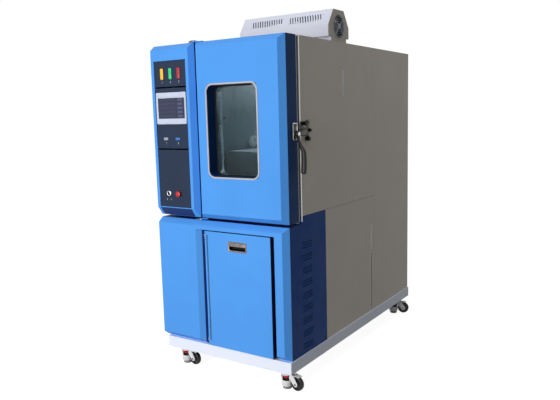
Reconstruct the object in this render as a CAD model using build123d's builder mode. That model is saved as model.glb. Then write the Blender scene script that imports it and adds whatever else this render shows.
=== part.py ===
from build123d import *
from math import cos, radians, sin
import os

os.makedirs("parts", exist_ok=True)

# Overall sizes, in millimetres
cabinet_width = 822.0
body_height = 1575.0
side_depth = 1501.0
castor_height = 105.0
base_height = 60.0
sheet = 1.5
casing_depth = 15.0

# How far the outermost fittings stand off the casing
latch_proud = 50.0
knob_proud = 12.0
gland_proud = 22.0

# Front: column at the left, main door beside it, fascia with its lower door below
nose = 31.0
bevel = 25.0
column_width = 277.5
column_bevel = 20.0
column_foot_bevel = 45.0
door_seam = 8.0
door_side = 92.0
gasket_gap = 18.5
fascia_height = 668.0
waist_gap = 14.0
belt_height = 706.0
body_gap = 0.3

# Reference planes of the whole object: origin on the floor, under the middle of its box
mid_x = -latch_proud / 2
left_x = mid_x - cabinet_width / 2
right_x = mid_x + cabinet_width / 2
foot_y = -(side_depth + gland_proud - nose - knob_proud) / 2
face_y = foot_y - nose
rear_y = foot_y + side_depth
cabinet_y = foot_y + door_side + gasket_gap
deck_z = castor_height + base_height
top_z = deck_z + body_height
column_x = left_x + column_width
door_x = column_x + door_seam
fascia_z = deck_z + fascia_height
door_z = fascia_z + waist_gap
belt_z = deck_z + belt_height

# Main door pivot, in the V between the column's bevel and the door's
pivot_x = column_x + door_seam / 2
pivot_y = foot_y - 8.0
pivot_pin_r = 4.0
pivot_clearance = 0.05
ear_thickness = 4.0
ear_gap = 0.5

# Window in the main door
window_left = mid_x - 48.0
window_right = mid_x + 270.0
window_low = deck_z + 893.0
window_high = deck_z + 1365.0
window_corner = 42.0
trim_width = 9.0
trim_proud = 4.0
reveal_depth = 68.0
pane = 6.0

# Insulated chamber
cavity_left = mid_x - 80.0
cavity_right = mid_x + 330.0
cavity_low = deck_z + 790.0
cavity_high = deck_z + 1470.0
cavity_depth = 690.0
cavity_corner = 12.0
chamber_wall = 100.0
duct_depth = 130.0
plenum_height = 70.0
box_left = mid_x - 200.0
box_low = deck_z + 692.0
box_high = top_z - casing_depth
box_right = right_x - casing_depth
box_back = cabinet_y + cavity_depth + chamber_wall
cavity_back = cabinet_y + cavity_depth
duct_y = cavity_back - duct_depth
ceiling_z = cavity_high - plenum_height
blower_x = (cavity_left + cavity_right) / 2
blower_y = foot_y + 525.0

# Roof housing over the blower motor
housing_left = mid_x - 150.0
housing_middle = foot_y + 525.0
housing_width = 226.0
housing_flat = 114.0
housing_step = 29.0
housing_height = 163.0
housing_shoulder = 79.0
housing_foot = 22.0

# Castors
castor_inset = 70.0
castor_rear_inset = 95.0
trail = 66.0
wheel_r = 36.5
wheel_width = 24.0
wheel_lift = 2.0
axle_r = 6.0
axle_z = wheel_r + wheel_lift
stem_r = 7.0
running = 0.05
castor_turns = {"front_left": -8.0, "front_right": -8.0, "rear_left": 15.0, "rear_right": 20.0}


def block(x, y, z):
    """Block between two limits along each axis, given as (low, high) pairs."""
    with BuildPart() as body:
        with Locations(((x[0] + x[1]) / 2, (y[0] + y[1]) / 2, (z[0] + z[1]) / 2)):
            Box(x[1] - x[0], y[1] - y[0], z[1] - z[0])
    return body.part


def tray(x, y, z, axis, open_end, wall=sheet):
    """Folded sheet tray: a block hollowed from one side (0 is the low end of the axis, -1 the high)."""
    with BuildPart() as pan:
        add(block(x, y, z))
        offset(amount=-wall, openings=pan.faces().sort_by(axis)[open_end])
    return pan.part


def nose_block(x, z, back, left_bevel, right_bevel, low_bevel, high_bevel):
    """Solid front block whose nose narrows from the chamfer foot to the front face."""
    with BuildPart() as body:
        add(block(x, (foot_y, back), z))
        with BuildSketch(Plane.XZ.offset(-foot_y)):
            with Locations(((x[0] + x[1]) / 2, (z[0] + z[1]) / 2)):
                Rectangle(x[1] - x[0], z[1] - z[0])
        with BuildSketch(Plane.XZ.offset(-face_y)):
            low_x, high_x = x[0] + left_bevel, x[1] - right_bevel
            low_z, high_z = z[0] + low_bevel, z[1] - high_bevel
            with Locations(((low_x + high_x) / 2, (low_z + high_z) / 2)):
                Rectangle(high_x - low_x, high_z - low_z)
        loft()
    return body.part


def finned_coil(x, y, z, fins):
    """Coil block: a core slab between two end plates, with upright fins through it."""
    core = 0.4 * (y[1] - y[0])
    middle = ((x[0] + x[1]) / 2, (y[0] + y[1]) / 2)
    with BuildPart() as coil:
        add(block(x, (middle[1] - core / 2, middle[1] + core / 2), z))
        for plate_low in (z[0], z[1] - 2 * sheet):
            add(block(x, y, (plate_low, plate_low + 2 * sheet)))
        with BuildSketch(Plane.XY.offset(z[0])):
            with Locations(middle):
                with GridLocations((x[1] - x[0] - sheet) / (fins - 1), 1, fins, 1):
                    Rectangle(sheet, y[1] - y[0])
        extrude(amount=z[1] - z[0])
    return coil.part


def finish(part, name):
    """Label a finished piece and write its file."""
    part.label = name
    export_step(part, f"parts/{name}.step")


# Base frame: a pan of folded steel with an inward top flange and two cross angles
base_left_inset = 22.0
base_right_proud = 6.0
base_front_inset = 9.0
base_rear_proud = 4.0
base_wall = 3.0
base_flange = 40.0
base_x = (left_x + base_left_inset, right_x + base_right_proud)
base_y = (face_y + base_front_inset, rear_y + base_rear_proud)
base_mid = ((base_x[0] + base_x[1]) / 2, (base_y[0] + base_y[1]) / 2)
base_size = (base_x[1] - base_x[0], base_y[1] - base_y[0])
pan_z = castor_height + base_wall

with BuildPart() as base_frame:
    with BuildSketch(Plane.XY.offset(castor_height)):
        with Locations(base_mid):
            Rectangle(*base_size)
    extrude(amount=base_height)
    with BuildSketch(Plane.XY.offset(pan_z)):
        with Locations(base_mid):
            Rectangle(base_size[0] - 2 * base_wall, base_size[1] - 2 * base_wall)
    extrude(amount=base_height, mode=Mode.SUBTRACT)
    with BuildSketch(Plane.XY.offset(deck_z - base_wall)):
        with Locations(base_mid):
            Rectangle(base_size[0] - base_wall, base_size[1] - base_wall)
            Rectangle(base_size[0] - 2 * base_flange, base_size[1] - 2 * base_flange, mode=Mode.SUBTRACT)
    extrude(amount=base_wall)
    for share in (0.45, 0.72):
        cross_y = base_y[0] + share * base_size[1]
        with BuildSketch(Plane.YZ.offset(base_x[0] + base_wall)):
            with Locations((cross_y, (pan_z + deck_z) / 2)):
                Rectangle(base_wall, deck_z - pan_z)
            with Locations((cross_y + base_flange / 2, deck_z - base_wall / 2)):
                Rectangle(base_flange, base_wall)
        extrude(amount=base_size[0] - 2 * base_wall)
finish(base_frame.part, "base_frame")

# Castor tops: square plates under the base, each with the race that its head turns on
plate_size = 90.0
plate_thickness = 5.0
race_r = 18.0
race_depth = 6.0
bolt_span = 70.0
bolt_head_r = 6.5
bolt_head = 5.0
castor_spots = {
    "front_left": (base_x[0] + castor_inset, base_y[0] + castor_inset),
    "front_right": (base_x[1] - castor_inset, base_y[0] + castor_inset),
    "rear_left": (base_x[0] + castor_inset, base_y[1] - castor_rear_inset),
    "rear_right": (base_x[1] - castor_inset, base_y[1] - castor_rear_inset),
}
plate_z = castor_height - plate_thickness

with BuildPart() as castor_plates:
    with BuildSketch(Plane.XY.offset(plate_z)):
        with Locations(*castor_spots.values()):
            RectangleRounded(plate_size, plate_size, 6.0)
    extrude(amount=plate_thickness)
    with BuildSketch(Plane.XY.offset(plate_z)):
        with Locations(*castor_spots.values()):
            Circle(race_r)
    extrude(amount=-race_depth)
    with BuildSketch(Plane.XY.offset(plate_z)):
        with Locations(*castor_spots.values()):
            with GridLocations(bolt_span, bolt_span, 2, 2):
                RegularPolygon(bolt_head_r, 6)
    extrude(amount=-bolt_head)
finish(castor_plates.part, "castor_plates")

# Castor heads: a round die-cast housing for the levelling screw, and a fork that trails the wheel
housing_r = 27.0
bore_r = 23.5
head_low = 14.0
head_top = plate_z - body_gap
nut_low = 76.0
window_z = (44.0, 76.0)
window_x = (-20.0, 12.0)
cheek = 5.0
wheel_side_gap = 2.5
wheel_round_gap = 1.8
axle_boss_r = 15.0
slot_half = wheel_width / 2 + wheel_side_gap
fork_half = slot_half + cheek

with BuildPart() as castor_head:
    with BuildSketch(Plane.XY.offset(head_low)):
        Circle(housing_r)
    extrude(amount=head_top - head_low)
    with BuildSketch(Plane.XZ):
        with Locations((trail, axle_z)):
            Circle(axle_boss_r)
        with Locations((housing_r - 8.0, 70.0)):
            Rectangle(14.0, 46.0)
        make_hull()
    extrude(amount=fork_half, both=True)
    with BuildSketch(Plane.XZ):
        with Locations((trail, axle_z)):
            Circle(wheel_r + wheel_round_gap)
    extrude(amount=slot_half, both=True, mode=Mode.SUBTRACT)
    with BuildSketch(Plane.XZ):
        with Locations((trail, axle_z)):
            Circle(axle_r)
    extrude(amount=fork_half, both=True)
    with BuildSketch(Plane.XZ):
        with Locations((trail, axle_z)):
            RegularPolygon(axle_r + 3.0, 6)
    extrude(amount=fork_half + 4.0, both=True)
    with BuildSketch(Plane.XZ):
        with Locations((trail, axle_z)):
            Circle(wheel_r)
            Circle(axle_r, mode=Mode.SUBTRACT)
    extrude(amount=slot_half, both=True, mode=Mode.SUBTRACT)
    with BuildSketch(Plane.XY.offset(head_low)):
        Circle(bore_r)
    extrude(amount=nut_low - head_low, mode=Mode.SUBTRACT)
    with BuildSketch(Plane.XY.offset(nut_low)):
        Circle(stem_r + running)
    extrude(amount=head_top - nut_low, mode=Mode.SUBTRACT)
    with BuildSketch(Plane.XY.offset(head_top)):
        Circle(race_r + running)
    extrude(amount=-race_depth, mode=Mode.SUBTRACT)
    with Locations(((window_x[0] + window_x[1]) / 2, 0, (window_z[0] + window_z[1]) / 2)):
        Box(window_x[1] - window_x[0], 3 * housing_r, window_z[1] - window_z[0], mode=Mode.SUBTRACT)

# Castor wheel: solid tyre with a recessed web round the hub
with BuildPart() as castor_wheel:
    with BuildSketch(Plane.XZ):
        with Locations((trail, axle_z)):
            Circle(wheel_r)
    extrude(amount=wheel_width / 2, both=True)
    chamfer(castor_wheel.edges().filter_by(GeomType.CIRCLE), length=3.0)
    for side in (-1, 1):
        with BuildSketch(Plane.XZ.offset(side * wheel_width / 2)):
            with Locations((trail, axle_z)):
                Circle(wheel_r - 10.0)
                Circle(axle_r + 5.0, mode=Mode.SUBTRACT)
        extrude(amount=-side * 5.0, mode=Mode.SUBTRACT)
    with BuildSketch(Plane.XZ):
        with Locations((trail, axle_z)):
            Circle(axle_r + running)
    extrude(amount=wheel_width, both=True, mode=Mode.SUBTRACT)

# Levelling foot: rubber-soled pad, screw and the thumb dial that turns it
pad_r = 23.0
pad_height = 10.0
dial_r = 22.0
dial_z = (51.0, 67.0)
stem_top = 85.0

with BuildPart() as castor_foot:
    with BuildSketch(Plane.XY):
        Circle(pad_r)
    extrude(amount=pad_height)
    chamfer(castor_foot.edges().group_by(Axis.Z)[-1], length=3.0)
    with BuildSketch(Plane.XY):
        Circle(stem_r)
    extrude(amount=stem_top)
    with BuildSketch(Plane.XY.offset(dial_z[0])):
        Circle(dial_r)
    extrude(amount=dial_z[1] - dial_z[0])

for spot, place in castor_spots.items():
    pose = Location((place[0], place[1], 0), (0, 0, castor_turns[spot]))
    for piece, source in (("castor_head", castor_head), ("castor_wheel", castor_wheel), ("castor_foot", castor_foot)):
        with BuildPart() as placed:
            with Locations(pose):
                add(source.part)
        finish(placed.part, f"{piece}_{spot}")

# Cabinet frame: four tube posts on the base, and the ring that carries the insulated box
post = 30.0
post_wall = 2.0
frame_x = (left_x + casing_depth, right_x - casing_depth)
frame_y = (cabinet_y + sheet, box_back)
frame_mid = ((frame_x[0] + frame_x[1]) / 2, (frame_y[0] + frame_y[1]) / 2)
frame_size = (frame_x[1] - frame_x[0], frame_y[1] - frame_y[0])

with BuildPart() as cabinet_frame:
    with BuildSketch(Plane.XY.offset(deck_z)):
        with Locations(frame_mid):
            with GridLocations(frame_size[0] - post, frame_size[1] - post, 2, 2):
                Rectangle(post, post)
                Rectangle(post - 2 * post_wall, post - 2 * post_wall, mode=Mode.SUBTRACT)
    extrude(amount=box_low - deck_z - post)
    with BuildSketch(Plane.XY.offset(box_low - post)):
        with Locations(frame_mid):
            Rectangle(*frame_size)
            Rectangle(frame_size[0] - 2 * post, frame_size[1] - 2 * post, mode=Mode.SUBTRACT)
    extrude(amount=post)
    with BuildSketch(Plane.XY.offset(box_low - post + post_wall)):
        with Locations(frame_mid):
            Rectangle(frame_size[0] - 2 * post_wall, frame_size[1] - 2 * post_wall)
            Rectangle(frame_size[0] - 2 * post, frame_size[1] - 2 * post, mode=Mode.SUBTRACT)
    extrude(amount=post - 2 * post_wall, mode=Mode.SUBTRACT)
finish(cabinet_frame.part, "cabinet_frame")

# Side casings: folded trays, open inwards, with a narrow seam between neighbours
seam = 1.5
side_x = (right_x - casing_depth, right_x)
cover_back = foot_y + 353.0
rear_seam = foot_y + 963.0

finish(
    tray(side_x, (cabinet_y, rear_seam - seam), (belt_z + seam, top_z), Axis.X, 0),
    "upper_side_panel",
)

slot_y = foot_y + 920.0
slot_z = (deck_z + 14.0, deck_z + 540.0)
slot_width = 7.0
with BuildPart() as lower_side_panel:
    add(tray(side_x, (cover_back + seam, rear_seam - seam), (deck_z, belt_z), Axis.X, 0))
    with BuildSketch(Plane.YZ.offset(right_x)):
        with Locations((slot_y, (slot_z[0] + slot_z[1]) / 2)):
            SlotOverall(slot_z[1] - slot_z[0], slot_width, rotation=90)
    extrude(amount=-2 * sheet, mode=Mode.SUBTRACT)
finish(lower_side_panel.part, "lower_side_panel")

finish(tray(side_x, (rear_seam, rear_y - sheet), (deck_z, top_z), Axis.X, 0), "rear_side_panel")
finish(
    tray((left_x, left_x + casing_depth), (cabinet_y, rear_y - sheet), (deck_z, top_z), Axis.X, -1),
    "left_side_panel",
)

# Louvred cover over the condenser side: rows of short slots under pressed hoods
louvre_length = 96.0
louvre_height = 5.0
louvre_pitch = 13.0
louvre_rows = 9
louvre_row_pitch = 65.0
louvre_low = deck_z + 40.0
louvre_y = foot_y + 159.0
hood_proud = 3.0

with BuildPart() as side_cover:
    add(tray(side_x, (foot_y + seam, cover_back), (deck_z, fascia_z), Axis.X, 0))
    add(tray(side_x, (cabinet_y + seam, cover_back), (fascia_z - casing_depth, belt_z), Axis.X, 0))
    with Locations((right_x - (casing_depth + sheet) / 2, (cabinet_y + cover_back) / 2, fascia_z - casing_depth / 2)):
        Box(
            casing_depth - sheet,
            cover_back - cabinet_y - 4 * casing_depth,
            4 * casing_depth,
            mode=Mode.SUBTRACT,
        )
    for row in range(louvre_rows):
        row_z = louvre_low + row * louvre_row_pitch
        with BuildSketch(Plane.YZ.offset(right_x)):
            with Locations((louvre_y, row_z)):
                with GridLocations(1, louvre_pitch, 1, 3):
                    Rectangle(louvre_length, louvre_height)
        extrude(amount=-2 * sheet, mode=Mode.SUBTRACT)
finish(side_cover.part, "side_cover")

# Top panel with the hole for the blower's shaft
shaft_r = 6.0
shaft_hole_r = 16.0
with BuildPart() as top_panel:
    add(
        tray(
            (left_x + casing_depth, right_x - casing_depth),
            (cabinet_y, rear_y - sheet),
            (top_z - casing_depth, top_z),
            Axis.Z,
            0,
        )
    )
    with BuildSketch(Plane.XY.offset(top_z)):
        with Locations((blower_x, blower_y)):
            Circle(shaft_hole_r)
    extrude(amount=-2 * sheet, mode=Mode.SUBTRACT)
finish(top_panel.part, "top_panel")

# Rear panel: exhaust slots for the machine space and a gland for the supply
rear_slot = (150.0, 8.0)
gland_r = 14.0
gland_bore_r = 8.0
with BuildPart() as rear_panel:
    with BuildSketch(Plane.XZ.offset(-(rear_y - sheet))):
        with Locations((mid_x, (deck_z + top_z) / 2)):
            Rectangle(cabinet_width, body_height)
        with Locations((mid_x, deck_z + 330.0)):
            with GridLocations(200.0, 24.0, 3, 10):
                Rectangle(*rear_slot, mode=Mode.SUBTRACT)
    extrude(amount=-sheet)
    with BuildSketch(Plane.XZ.offset(-(rear_y - sheet))):
        with Locations((left_x + 120.0, deck_z + 110.0)):
            RegularPolygon(gland_r + 4.0, 6)
    extrude(amount=-gland_proud / 2)
    with BuildSketch(Plane.XZ.offset(-(rear_y - sheet))):
        with Locations((left_x + 120.0, deck_z + 110.0)):
            Circle(gland_r)
    extrude(amount=-gland_proud - sheet)
    with BuildSketch(Plane.XZ.offset(-(rear_y - 2 * sheet))):
        with Locations((left_x + 120.0, deck_z + 110.0)):
            Circle(gland_bore_r)
    extrude(amount=-2 * gland_proud, mode=Mode.SUBTRACT)
finish(rear_panel.part, "rear_panel")

# Control column: folded shell with a framed pocket for the three plates
inlay_left = mid_x - 392.0
inlay_right = mid_x - 172.0
inlay_low = deck_z + 730.0
inlay_high = deck_z + 1494.0
inlay_depth = 14.0
inlay_mid = ((inlay_left + inlay_right) / 2, (inlay_low + inlay_high) / 2)
inlay_size = (inlay_right - inlay_left, inlay_high - inlay_low)

with BuildPart() as control_column:
    add(nose_block((left_x, column_x), (door_z, top_z), cabinet_y, 0.0, column_bevel, column_foot_bevel, bevel))
    offset(amount=-sheet, openings=control_column.faces().sort_by(Axis.Y)[-1])
    with BuildSketch(Plane.XZ.offset(-face_y)):
        with Locations(inlay_mid):
            Rectangle(inlay_size[0] + 2 * sheet, inlay_size[1] + 2 * sheet)
    extrude(amount=-inlay_depth)
    with BuildSketch(Plane.XZ.offset(-face_y)):
        with Locations(inlay_mid):
            Rectangle(*inlay_size)
    extrude(amount=-inlay_depth, mode=Mode.SUBTRACT)
finish(control_column.part, "control_column")

# Plates in the column's pocket, with dark grooves between them
plate_recess = 3.0
plate_groove = 8.0
lamp_plate_low = deck_z + 1362.0
screen_plate_low = deck_z + 1042.0
plate_y = face_y + plate_recess
plate_depth = 10.0
plate_gap = 0.5
plate_x = (inlay_left + plate_gap, inlay_right - plate_gap)

lamp_x = [mid_x - 338.0, mid_x - 280.0, mid_x - 223.0]
lamp_z = deck_z + 1427.0
lamp_size = (20.0, 57.0)
lamp_rim = 3.0
bezel_x = (mid_x - 384.0, mid_x - 177.0)
bezel_z = (deck_z + 1168.0, deck_z + 1332.0)
bezel_proud = 6.0
screen_x = (mid_x - 372.0, mid_x - 190.0)
screen_z = (deck_z + 1197.0, deck_z + 1303.0)
screen_body = 8.0
port_z = deck_z + 1092.0
data_port_x = mid_x - 328.0
serial_port_x = mid_x - 245.0
key_x = mid_x - 328.0
stop_x = mid_x - 256.0
switch_z = deck_z + 802.0
collar_r = 15.0
key_r = 9.0
stop_stem_r = 8.0

with BuildPart() as lamp_plate:
    add(tray(plate_x, (plate_y, plate_y + plate_depth), (lamp_plate_low, inlay_high - plate_gap), Axis.Y, -1))
    with BuildSketch(Plane.XZ.offset(-plate_y)):
        with Locations(*[(x, lamp_z) for x in lamp_x]):
            SlotOverall(lamp_size[1], lamp_size[0], rotation=90)
    extrude(amount=-2 * sheet, mode=Mode.SUBTRACT)
finish(lamp_plate.part, "lamp_plate")

with BuildPart() as screen_plate:
    add(
        tray(
            plate_x,
            (plate_y, plate_y + plate_depth),
            (screen_plate_low, lamp_plate_low - plate_groove),
            Axis.Y,
            -1,
        )
    )
    with BuildSketch(Plane.XZ.offset(-plate_y)):
        with Locations(((screen_x[0] + screen_x[1]) / 2, (screen_z[0] + screen_z[1]) / 2)):
            Rectangle(screen_x[1] - screen_x[0] - 2 * sheet, screen_z[1] - screen_z[0] - 2 * sheet)
    extrude(amount=-2 * sheet, mode=Mode.SUBTRACT)
finish(screen_plate.part, "screen_plate")

with BuildPart() as switch_plate:
    add(tray(plate_x, (plate_y, plate_y + plate_depth), (inlay_low + plate_gap, screen_plate_low - plate_groove), Axis.Y, -1))
    with BuildSketch(Plane.XZ.offset(-plate_y)):
        with Locations((key_x, switch_z)):
            Circle(key_r + 2.0)
        with Locations((stop_x, switch_z)):
            Circle(stop_stem_r + 3.0)
    extrude(amount=-2 * sheet, mode=Mode.SUBTRACT)
finish(switch_plate.part, "switch_plate")

# Indicator lamps: three oblong lenses with domed edges, each in its slot with a rim on the plate
with BuildPart() as indicator_lamps:
    with BuildSketch(Plane.XZ.offset(-plate_y)):
        with Locations(*[(x, lamp_z) for x in lamp_x]):
            SlotOverall(lamp_size[1] + lamp_rim, lamp_size[0] + lamp_rim, rotation=90)
    extrude(amount=4.0)
    chamfer(indicator_lamps.faces().sort_by(Axis.Y)[0:3].edges(), length=1.5)
    with BuildSketch(Plane.XZ.offset(-plate_y)):
        with Locations(*[(x, lamp_z) for x in lamp_x]):
            SlotOverall(lamp_size[1] - plate_gap, lamp_size[0] - plate_gap, rotation=90)
    extrude(amount=-20.0)
finish(indicator_lamps.part, "indicator_lamps")

# Touch screen: a bezel with its body behind the plate, and the glass set in it
with BuildPart() as screen_bezel:
    with BuildSketch(Plane.XZ.offset(-plate_y)):
        with Locations(((bezel_x[0] + bezel_x[1]) / 2, (bezel_z[0] + bezel_z[1]) / 2)):
            RectangleRounded(bezel_x[1] - bezel_x[0], bezel_z[1] - bezel_z[0], 3.0)
    extrude(amount=bezel_proud)
    chamfer(screen_bezel.faces().sort_by(Axis.Y)[0].edges(), length=2.0)
    with BuildSketch(Plane.XZ.offset(-plate_y)):
        with Locations(((screen_x[0] + screen_x[1]) / 2, (screen_z[0] + screen_z[1]) / 2)):
            Rectangle(screen_x[1] - screen_x[0] - 3 * sheet, screen_z[1] - screen_z[0] - 3 * sheet)
    extrude(amount=-30.0)
    with BuildSketch(Plane.XZ.offset(-(plate_y - bezel_proud))):
        with Locations(((screen_x[0] + screen_x[1]) / 2, (screen_z[0] + screen_z[1]) / 2)):
            Rectangle(screen_x[1] - screen_x[0], screen_z[1] - screen_z[0])
    extrude(amount=-4.0, mode=Mode.SUBTRACT)
finish(screen_bezel.part, "screen_bezel")

with BuildPart() as screen_glass:
    with BuildSketch(Plane.XZ.offset(-(plate_y - bezel_proud + 4.0))):
        with Locations(((screen_x[0] + screen_x[1]) / 2, (screen_z[0] + screen_z[1]) / 2)):
            Rectangle(screen_x[1] - screen_x[0] - plate_gap, screen_z[1] - screen_z[0] - plate_gap)
    extrude(amount=2.5)
finish(screen_glass.part, "screen_glass")

# Panel fittings: two port covers, and the collars of the key switch and the push button
with BuildPart() as panel_fittings:
    with BuildSketch(Plane.XZ.offset(-plate_y)):
        with Locations((data_port_x, port_z)):
            RectangleRounded(20.0, 16.0, 2.0)
        with Locations((serial_port_x, port_z)):
            RectangleRounded(34.0, 15.0, 4.0)
    extrude(amount=5.0)
    with BuildSketch(Plane.XZ.offset(-plate_y)):
        with Locations((key_x, switch_z), (stop_x, switch_z)):
            Circle(collar_r)
    extrude(amount=4.0)
    chamfer(panel_fittings.edges().filter_by(GeomType.CIRCLE).group_by(Axis.Y)[0], length=1.5)
    with BuildSketch(Plane.XZ.offset(-plate_y)):
        with Locations((key_x, switch_z)):
            Circle(key_r + 2.0 - plate_gap)
        with Locations((stop_x, switch_z)):
            Circle(stop_stem_r + 3.0 - plate_gap)
    extrude(amount=-25.0)
    with BuildSketch(Plane.XZ.offset(-(plate_y - 4.0))):
        with Locations((key_x, switch_z)):
            Circle(key_r + running)
        with Locations((stop_x, switch_z)):
            Circle(stop_stem_r + running)
    extrude(amount=-20.0, mode=Mode.SUBTRACT)
finish(panel_fittings.part, "panel_fittings")

with BuildPart() as key_barrel:
    with BuildSketch(Plane.XZ.offset(-(plate_y + 14.0))):
        with Locations((key_x, switch_z)):
            Circle(key_r)
    extrude(amount=14.0 + 5.5)
    with BuildSketch(Plane.XZ.offset(-(plate_y - 5.5))):
        with Locations((key_x, switch_z)):
            Rectangle(2.5, 10.0)
    extrude(amount=-4.0, mode=Mode.SUBTRACT)
finish(key_barrel.part, "key_barrel")

stop_travel = 4.0
stop_head_r = 15.5
stop_neck = 4.0 + stop_travel + 1.0
with BuildPart() as stop_button:
    with BuildSketch(Plane.XZ.offset(-(plate_y + 10.0))):
        with Locations((stop_x, switch_z)):
            Circle(stop_stem_r)
    extrude(amount=10.0 + stop_neck)
    with BuildSketch(Plane.XZ.offset(-(plate_y - stop_neck))):
        with Locations((stop_x, switch_z)):
            Circle(stop_head_r)
    extrude(amount=plate_recess + knob_proud - stop_neck)
    chamfer(stop_button.faces().sort_by(Axis.Y)[0].edges(), length=2.5)
finish(stop_button.part, "stop_button")

# Lower fascia: left pad with its bevel towards the door opening, top band and right strip
opening_left = mid_x - 108.0
opening_right = mid_x + 340.0
opening_high = deck_z + 623.0
opening_bevel = 44.0
bevel_slope = opening_bevel / nose
with BuildPart() as lower_fascia:
    add(nose_block((left_x, right_x), (deck_z, fascia_z), cabinet_y, 0.0, bevel, bevel, bevel))
    with BuildSketch(Plane.XY.offset(deck_z)):
        with BuildLine():
            Polyline(
                (opening_left - opening_bevel - bevel_slope, face_y - 1),
                (opening_left, foot_y),
                (opening_left, cabinet_y),
                (opening_right, cabinet_y),
                (opening_right, face_y - 1),
                close=True,
            )
        make_face()
    extrude(amount=opening_high - deck_z, mode=Mode.SUBTRACT)
    offset(amount=-sheet, openings=lower_fascia.faces().sort_by(Axis.Y)[-1])
    side_return = (foot_y + seam, cabinet_y)
    with Locations((right_x, (side_return[0] + side_return[1]) / 2, (deck_z + fascia_z) / 2)):
        Box(2 * casing_depth, side_return[1] - side_return[0], body_height, mode=Mode.SUBTRACT)
finish(lower_fascia.part, "lower_fascia")

# Lower door: tray with a column of vent slots, hung on two knuckles in the gap at its left
lower_left = mid_x - 91.0
lower_right = mid_x + 318.0
lower_low = deck_z + 5.0
lower_high = deck_z + 618.0
lower_depth = 25.0
lower_pivot_x = (opening_left + lower_left) / 2
lower_pivot_y = face_y + 11.0
knuckle_r = 6.0
knuckle_length = 34.0
lower_pin_r = 3.0
vent_x = mid_x - 76.0
vent_size = (8.0, 5.0)
vent_pitch = 10.5
vent_count = 54
vent_high = deck_z + 594.0
pull_x = (mid_x + 59.0, mid_x + 176.0)
pull_z = (deck_z + 524.0, deck_z + 577.0)
pull_wall = 6.0
pull_depth = 20.0
pull_mid = ((pull_x[0] + pull_x[1]) / 2, (pull_z[0] + pull_z[1]) / 2)
pull_cup = (pull_x[1] - pull_x[0] - 2 * pull_wall, pull_z[1] - pull_z[0] - 2 * pull_wall)
knuckle_spots = (lower_low + 40.0, lower_high - 40.0 - knuckle_length)

with BuildPart() as lower_door:
    add(tray((lower_left, lower_right), (face_y, face_y + lower_depth), (lower_low, lower_high), Axis.Y, -1))
    with BuildSketch(Plane.XZ.offset(-face_y)):
        with Locations((vent_x, vent_high - (vent_count - 1) * vent_pitch / 2)):
            with GridLocations(1, vent_pitch, 1, vent_count):
                Rectangle(*vent_size)
        with Locations(pull_mid):
            Rectangle(*pull_cup)
    extrude(amount=-2 * sheet, mode=Mode.SUBTRACT)
    for knuckle_z in knuckle_spots:
        with BuildSketch(Plane.XY.offset(knuckle_z)):
            with Locations((lower_pivot_x, lower_pivot_y)):
                Circle(knuckle_r)
            with Locations(((lower_pivot_x + lower_left) / 2, lower_pivot_y)):
                Rectangle(lower_left - lower_pivot_x + 1.0, 3.0)
        extrude(amount=knuckle_length)
        with BuildSketch(Plane.XY.offset(knuckle_z)):
            with Locations((lower_pivot_x, lower_pivot_y)):
                Circle(lower_pin_r + running)
        extrude(amount=knuckle_length, mode=Mode.SUBTRACT)
finish(lower_door.part, "lower_door")

# Flush pull: a framed cup behind the door skin, its upper half covered by a lip
with BuildPart() as pull_handle:
    with BuildSketch(Plane.XZ.offset(-face_y)):
        with Locations(pull_mid):
            RectangleRounded(pull_x[1] - pull_x[0], pull_z[1] - pull_z[0], 3.0)
    extrude(amount=2.0)
    with BuildSketch(Plane.XZ.offset(-face_y)):
        with Locations(pull_mid):
            Rectangle(pull_cup[0] - plate_gap, pull_cup[1] - plate_gap)
    extrude(amount=-pull_depth)
    with BuildSketch(Plane.XZ.offset(-(face_y - 2.0))):
        with Locations(pull_mid):
            Rectangle(pull_cup[0] - 2 * sheet - plate_gap, pull_cup[1] - 2 * sheet - plate_gap)
    extrude(amount=-(pull_depth + 2.0 - sheet), mode=Mode.SUBTRACT)
    lip_z = (pull_mid[1] + 2.0, pull_mid[1] + pull_cup[1] / 2 - sheet)
    with BuildSketch(Plane.XZ.offset(-(face_y + 1.0))):
        with Locations((pull_mid[0], (lip_z[0] + lip_z[1]) / 2)):
            Rectangle(pull_cup[0] - 2 * sheet, lip_z[1] - lip_z[0])
    extrude(amount=3.0)
finish(pull_handle.part, "pull_handle")

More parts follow.
